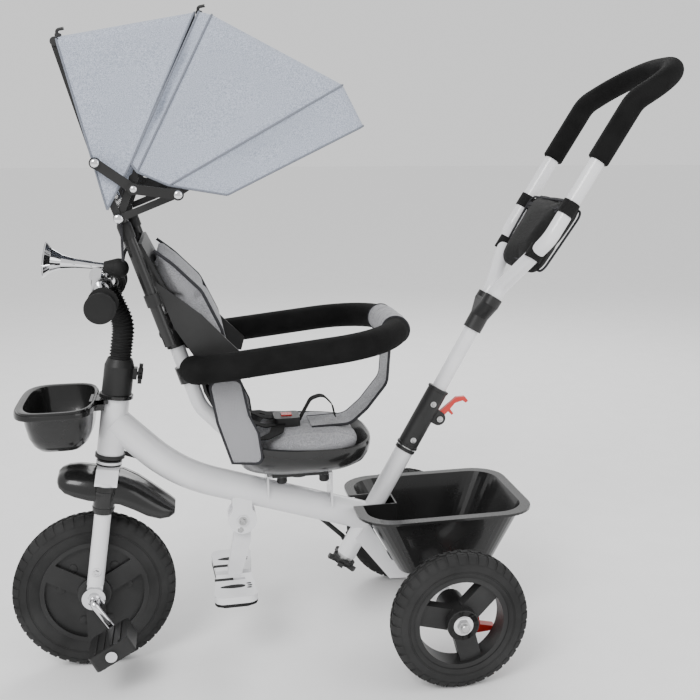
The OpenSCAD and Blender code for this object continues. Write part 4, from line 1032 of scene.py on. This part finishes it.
# %%
def bolt(shape, p, out, r, h=4, mat=0):
    shape.lathe([(r, -1), (r, h - 1), (r - 1, h), (r * 0.55, h), (r * 0.5, h - 1.6), (0, h - 1.6)], p, out, mat, n=6)
    shape.lathe([(r * 1.45, -1), (r * 1.45, 0.8), (r * 1.3, 1.0), (0, 1.0)], p, out, mat, n=28)


s = Shape()
for side in (-1, 1):
    bolt(s, Vector((-208, side * 24, 227.9)), Y * side, 5)
    for x in (-159, -75):
        bolt(s, Vector((x, side * 21, 301.4)), Vector((0, 0, 1)), 3, 2.5)
piece("frame_bolts", s, [steel], "frame")
s = Shape()
for side in (-1, 1):
    bolt(s, steer(0, side * 53, 48), Y * side, 5)
    s.lathe([(6.2, 0), (9.5, 0), (9.5, 4), (7.5, 6), (6.2, 6)], steer(0, side * 46, 0), Y * side, n=32)
piece("fork_bolts", s, [chrome], "steering")
s = Shape()
for k in range(2):
    p = handle(0, -17.5, 230 + 70 * k)
    bolt(s, p, -Y, 3.4, 3)
for side in (-1, 1):
    bolt(s, handle(25.5, side * 11, 282), Y * side, 3.6, 2)
piece("clamp_bolts", s, [steel], "handle_base")
s = Shape()
for a, b in ((214, 219), (323, 328)):
    s.lathe([(17.4, 0), (18.8, 0.6), (18.8, b - a - 0.6), (17.4, b - a)], handle(0, 0, a), HANDLE_AXIS, n=48)
s.lathe([(16, 0), (17.6, 0.5), (17.6, 5.5), (16, 6)], handle(0, 0, 206), HANDLE_AXIS, n=48)
piece("clamp_rings", s, [satin_black], "handle_base")
s = Shape()
s.lathe([(0, -6.5), (4, -5.6), (6.5, -2), (6.5, 2), (4, 5.6), (0, 6.5)], handle(0, 36, 14), HANDLE_AXIS, n=28)
piece("rod_ball", s, [chrome], "handle_base")

REST = Vector((-208, 0, 227.9))
SOLE = [(-29, 8), (29, 8), (34, 82), (31, 92), (18, 99), (-18, 99), (-31, 92), (-34, 82)]
marks, soles = Shape(), Shape()
for side in (-1, 1):
    edge = rounded([REST + Vector((x - 17, side * y, -110.5)) for x, y in SOLE + SOLE[:1]], 8, 4)[:-1]
    soles.grid([[p + Vector((0, 0, h)) for p in edge] for h in (-3.5, 4)], close_v=True, caps=True)
    top = REST + Vector((-17, side * 58, -96.9))
    for x, y, long, wide in ((-4, 0, 20, 6.5), (22, -8, 4, 2.2), (23, 0, 4, 2.2), (22, 8, 4, 2.2)):
        oval = [top + Vector((x + long * math.cos(a), side * y + wide * math.sin(a) * (1 + 0.25 * math.cos(a)), 0))
                for a in (2 * math.pi * k / 28 for k in range(28))]
        marks.grid([[p + Vector((0, 0, h)) for p in oval] for h in (-0.6, 0.3)], close_v=True, caps=True)
    marks.box(REST + Vector((-34, side * 28.5, -96.8)), (15, 0, 0), (0, 4.2, 0), (0, 0, 0.5))
piece("footrest_soles", soles, [rubber], "footrest", smooth=40)
piece("footrest_marks", marks, [rubber], "footrest", smooth=40)
screws = Shape()
for side in (-1, 1):
    for x, z in ((-4, -16), (4, 2)):
        screws.lathe([(4.6, -1), (4.6, 0.6), (3.4, 1.8), (1.6, 1.8), (1.4, 0.8), (0, 0.8)],
                     REST + Vector((x, side * 21, z)), Y * side, n=24)
piece("footrest_screws", screws, [steel], "frame", smooth=40)
knobs = Shape()
for x, z in ((-142, 292), (-72, 291)):
    for side in (-1, 1):
        knobs.lathe([(0, -6), (7, -6), (8.5, -4), (8.5, 5), (7, 6), (0, 6)], Vector((x, side * 17, z)), Vector((0, 0, 1)), n=28)
piece("seat_bolts", knobs, [satin_black], "frame", smooth=40)

# %% [markdown]
# ## Camera, light and floor

# %%
cam = bpy.data.objects.new("camera", bpy.data.cameras.new("camera"))
bpy.context.scene.collection.objects.link(cam)
cam.location = Vector((-0.287, -1.634, 0.836)) + MIDDLE * MM
cam.rotation_euler = (math.radians(90 - 9.72), 0, math.radians(-13.5))
cam.data.lens, cam.data.sensor_width = 52.05, 36
cam.data.shift_x, cam.data.shift_y = -0.107, -0.044
bpy.context.scene.camera = cam

floor_mesh = bpy.data.meshes.new("floor")
floor_mesh.from_pydata([(-40, -40, 0), (40, -40, 0), (40, 40, 0), (-40, 40, 0)], [], [(0, 1, 2, 3)])
floor = bpy.data.objects.new("floor", floor_mesh)
bpy.context.scene.collection.objects.link(floor)
floor_look = material("Floor", GRAIN, 30, grey(0.92), grey(0.94), 0.8, 0.0)
floor_mesh.materials.append(floor_look)

world = bpy.data.worlds.new("studio")
world.use_nodes = True
world.node_tree.nodes["Background"].inputs[0].default_value = (1, 1, 1, 1)
world.node_tree.nodes["Background"].inputs[1].default_value = 1.0
bpy.context.scene.world = world


def softbox(name, place, target, size, power):
    light = bpy.data.objects.new(name, bpy.data.lights.new(name, "AREA"))
    bpy.context.scene.collection.objects.link(light)
    light.location = place
    light.rotation_euler = (Vector(target) - Vector(place)).to_track_quat("-Z", "Y").to_euler()
    light.data.size, light.data.energy = size, power


softbox("key", (-1.6, -2.2, 2.6), (0, 0, 0.4), 1.4, 75)
softbox("fill", (2.4, -1.6, 1.6), (0, 0, 0.4), 2.0, 22)
softbox("rim", (0.6, 2.4, 2.4), (0, 0, 0.5), 1.6, 40)
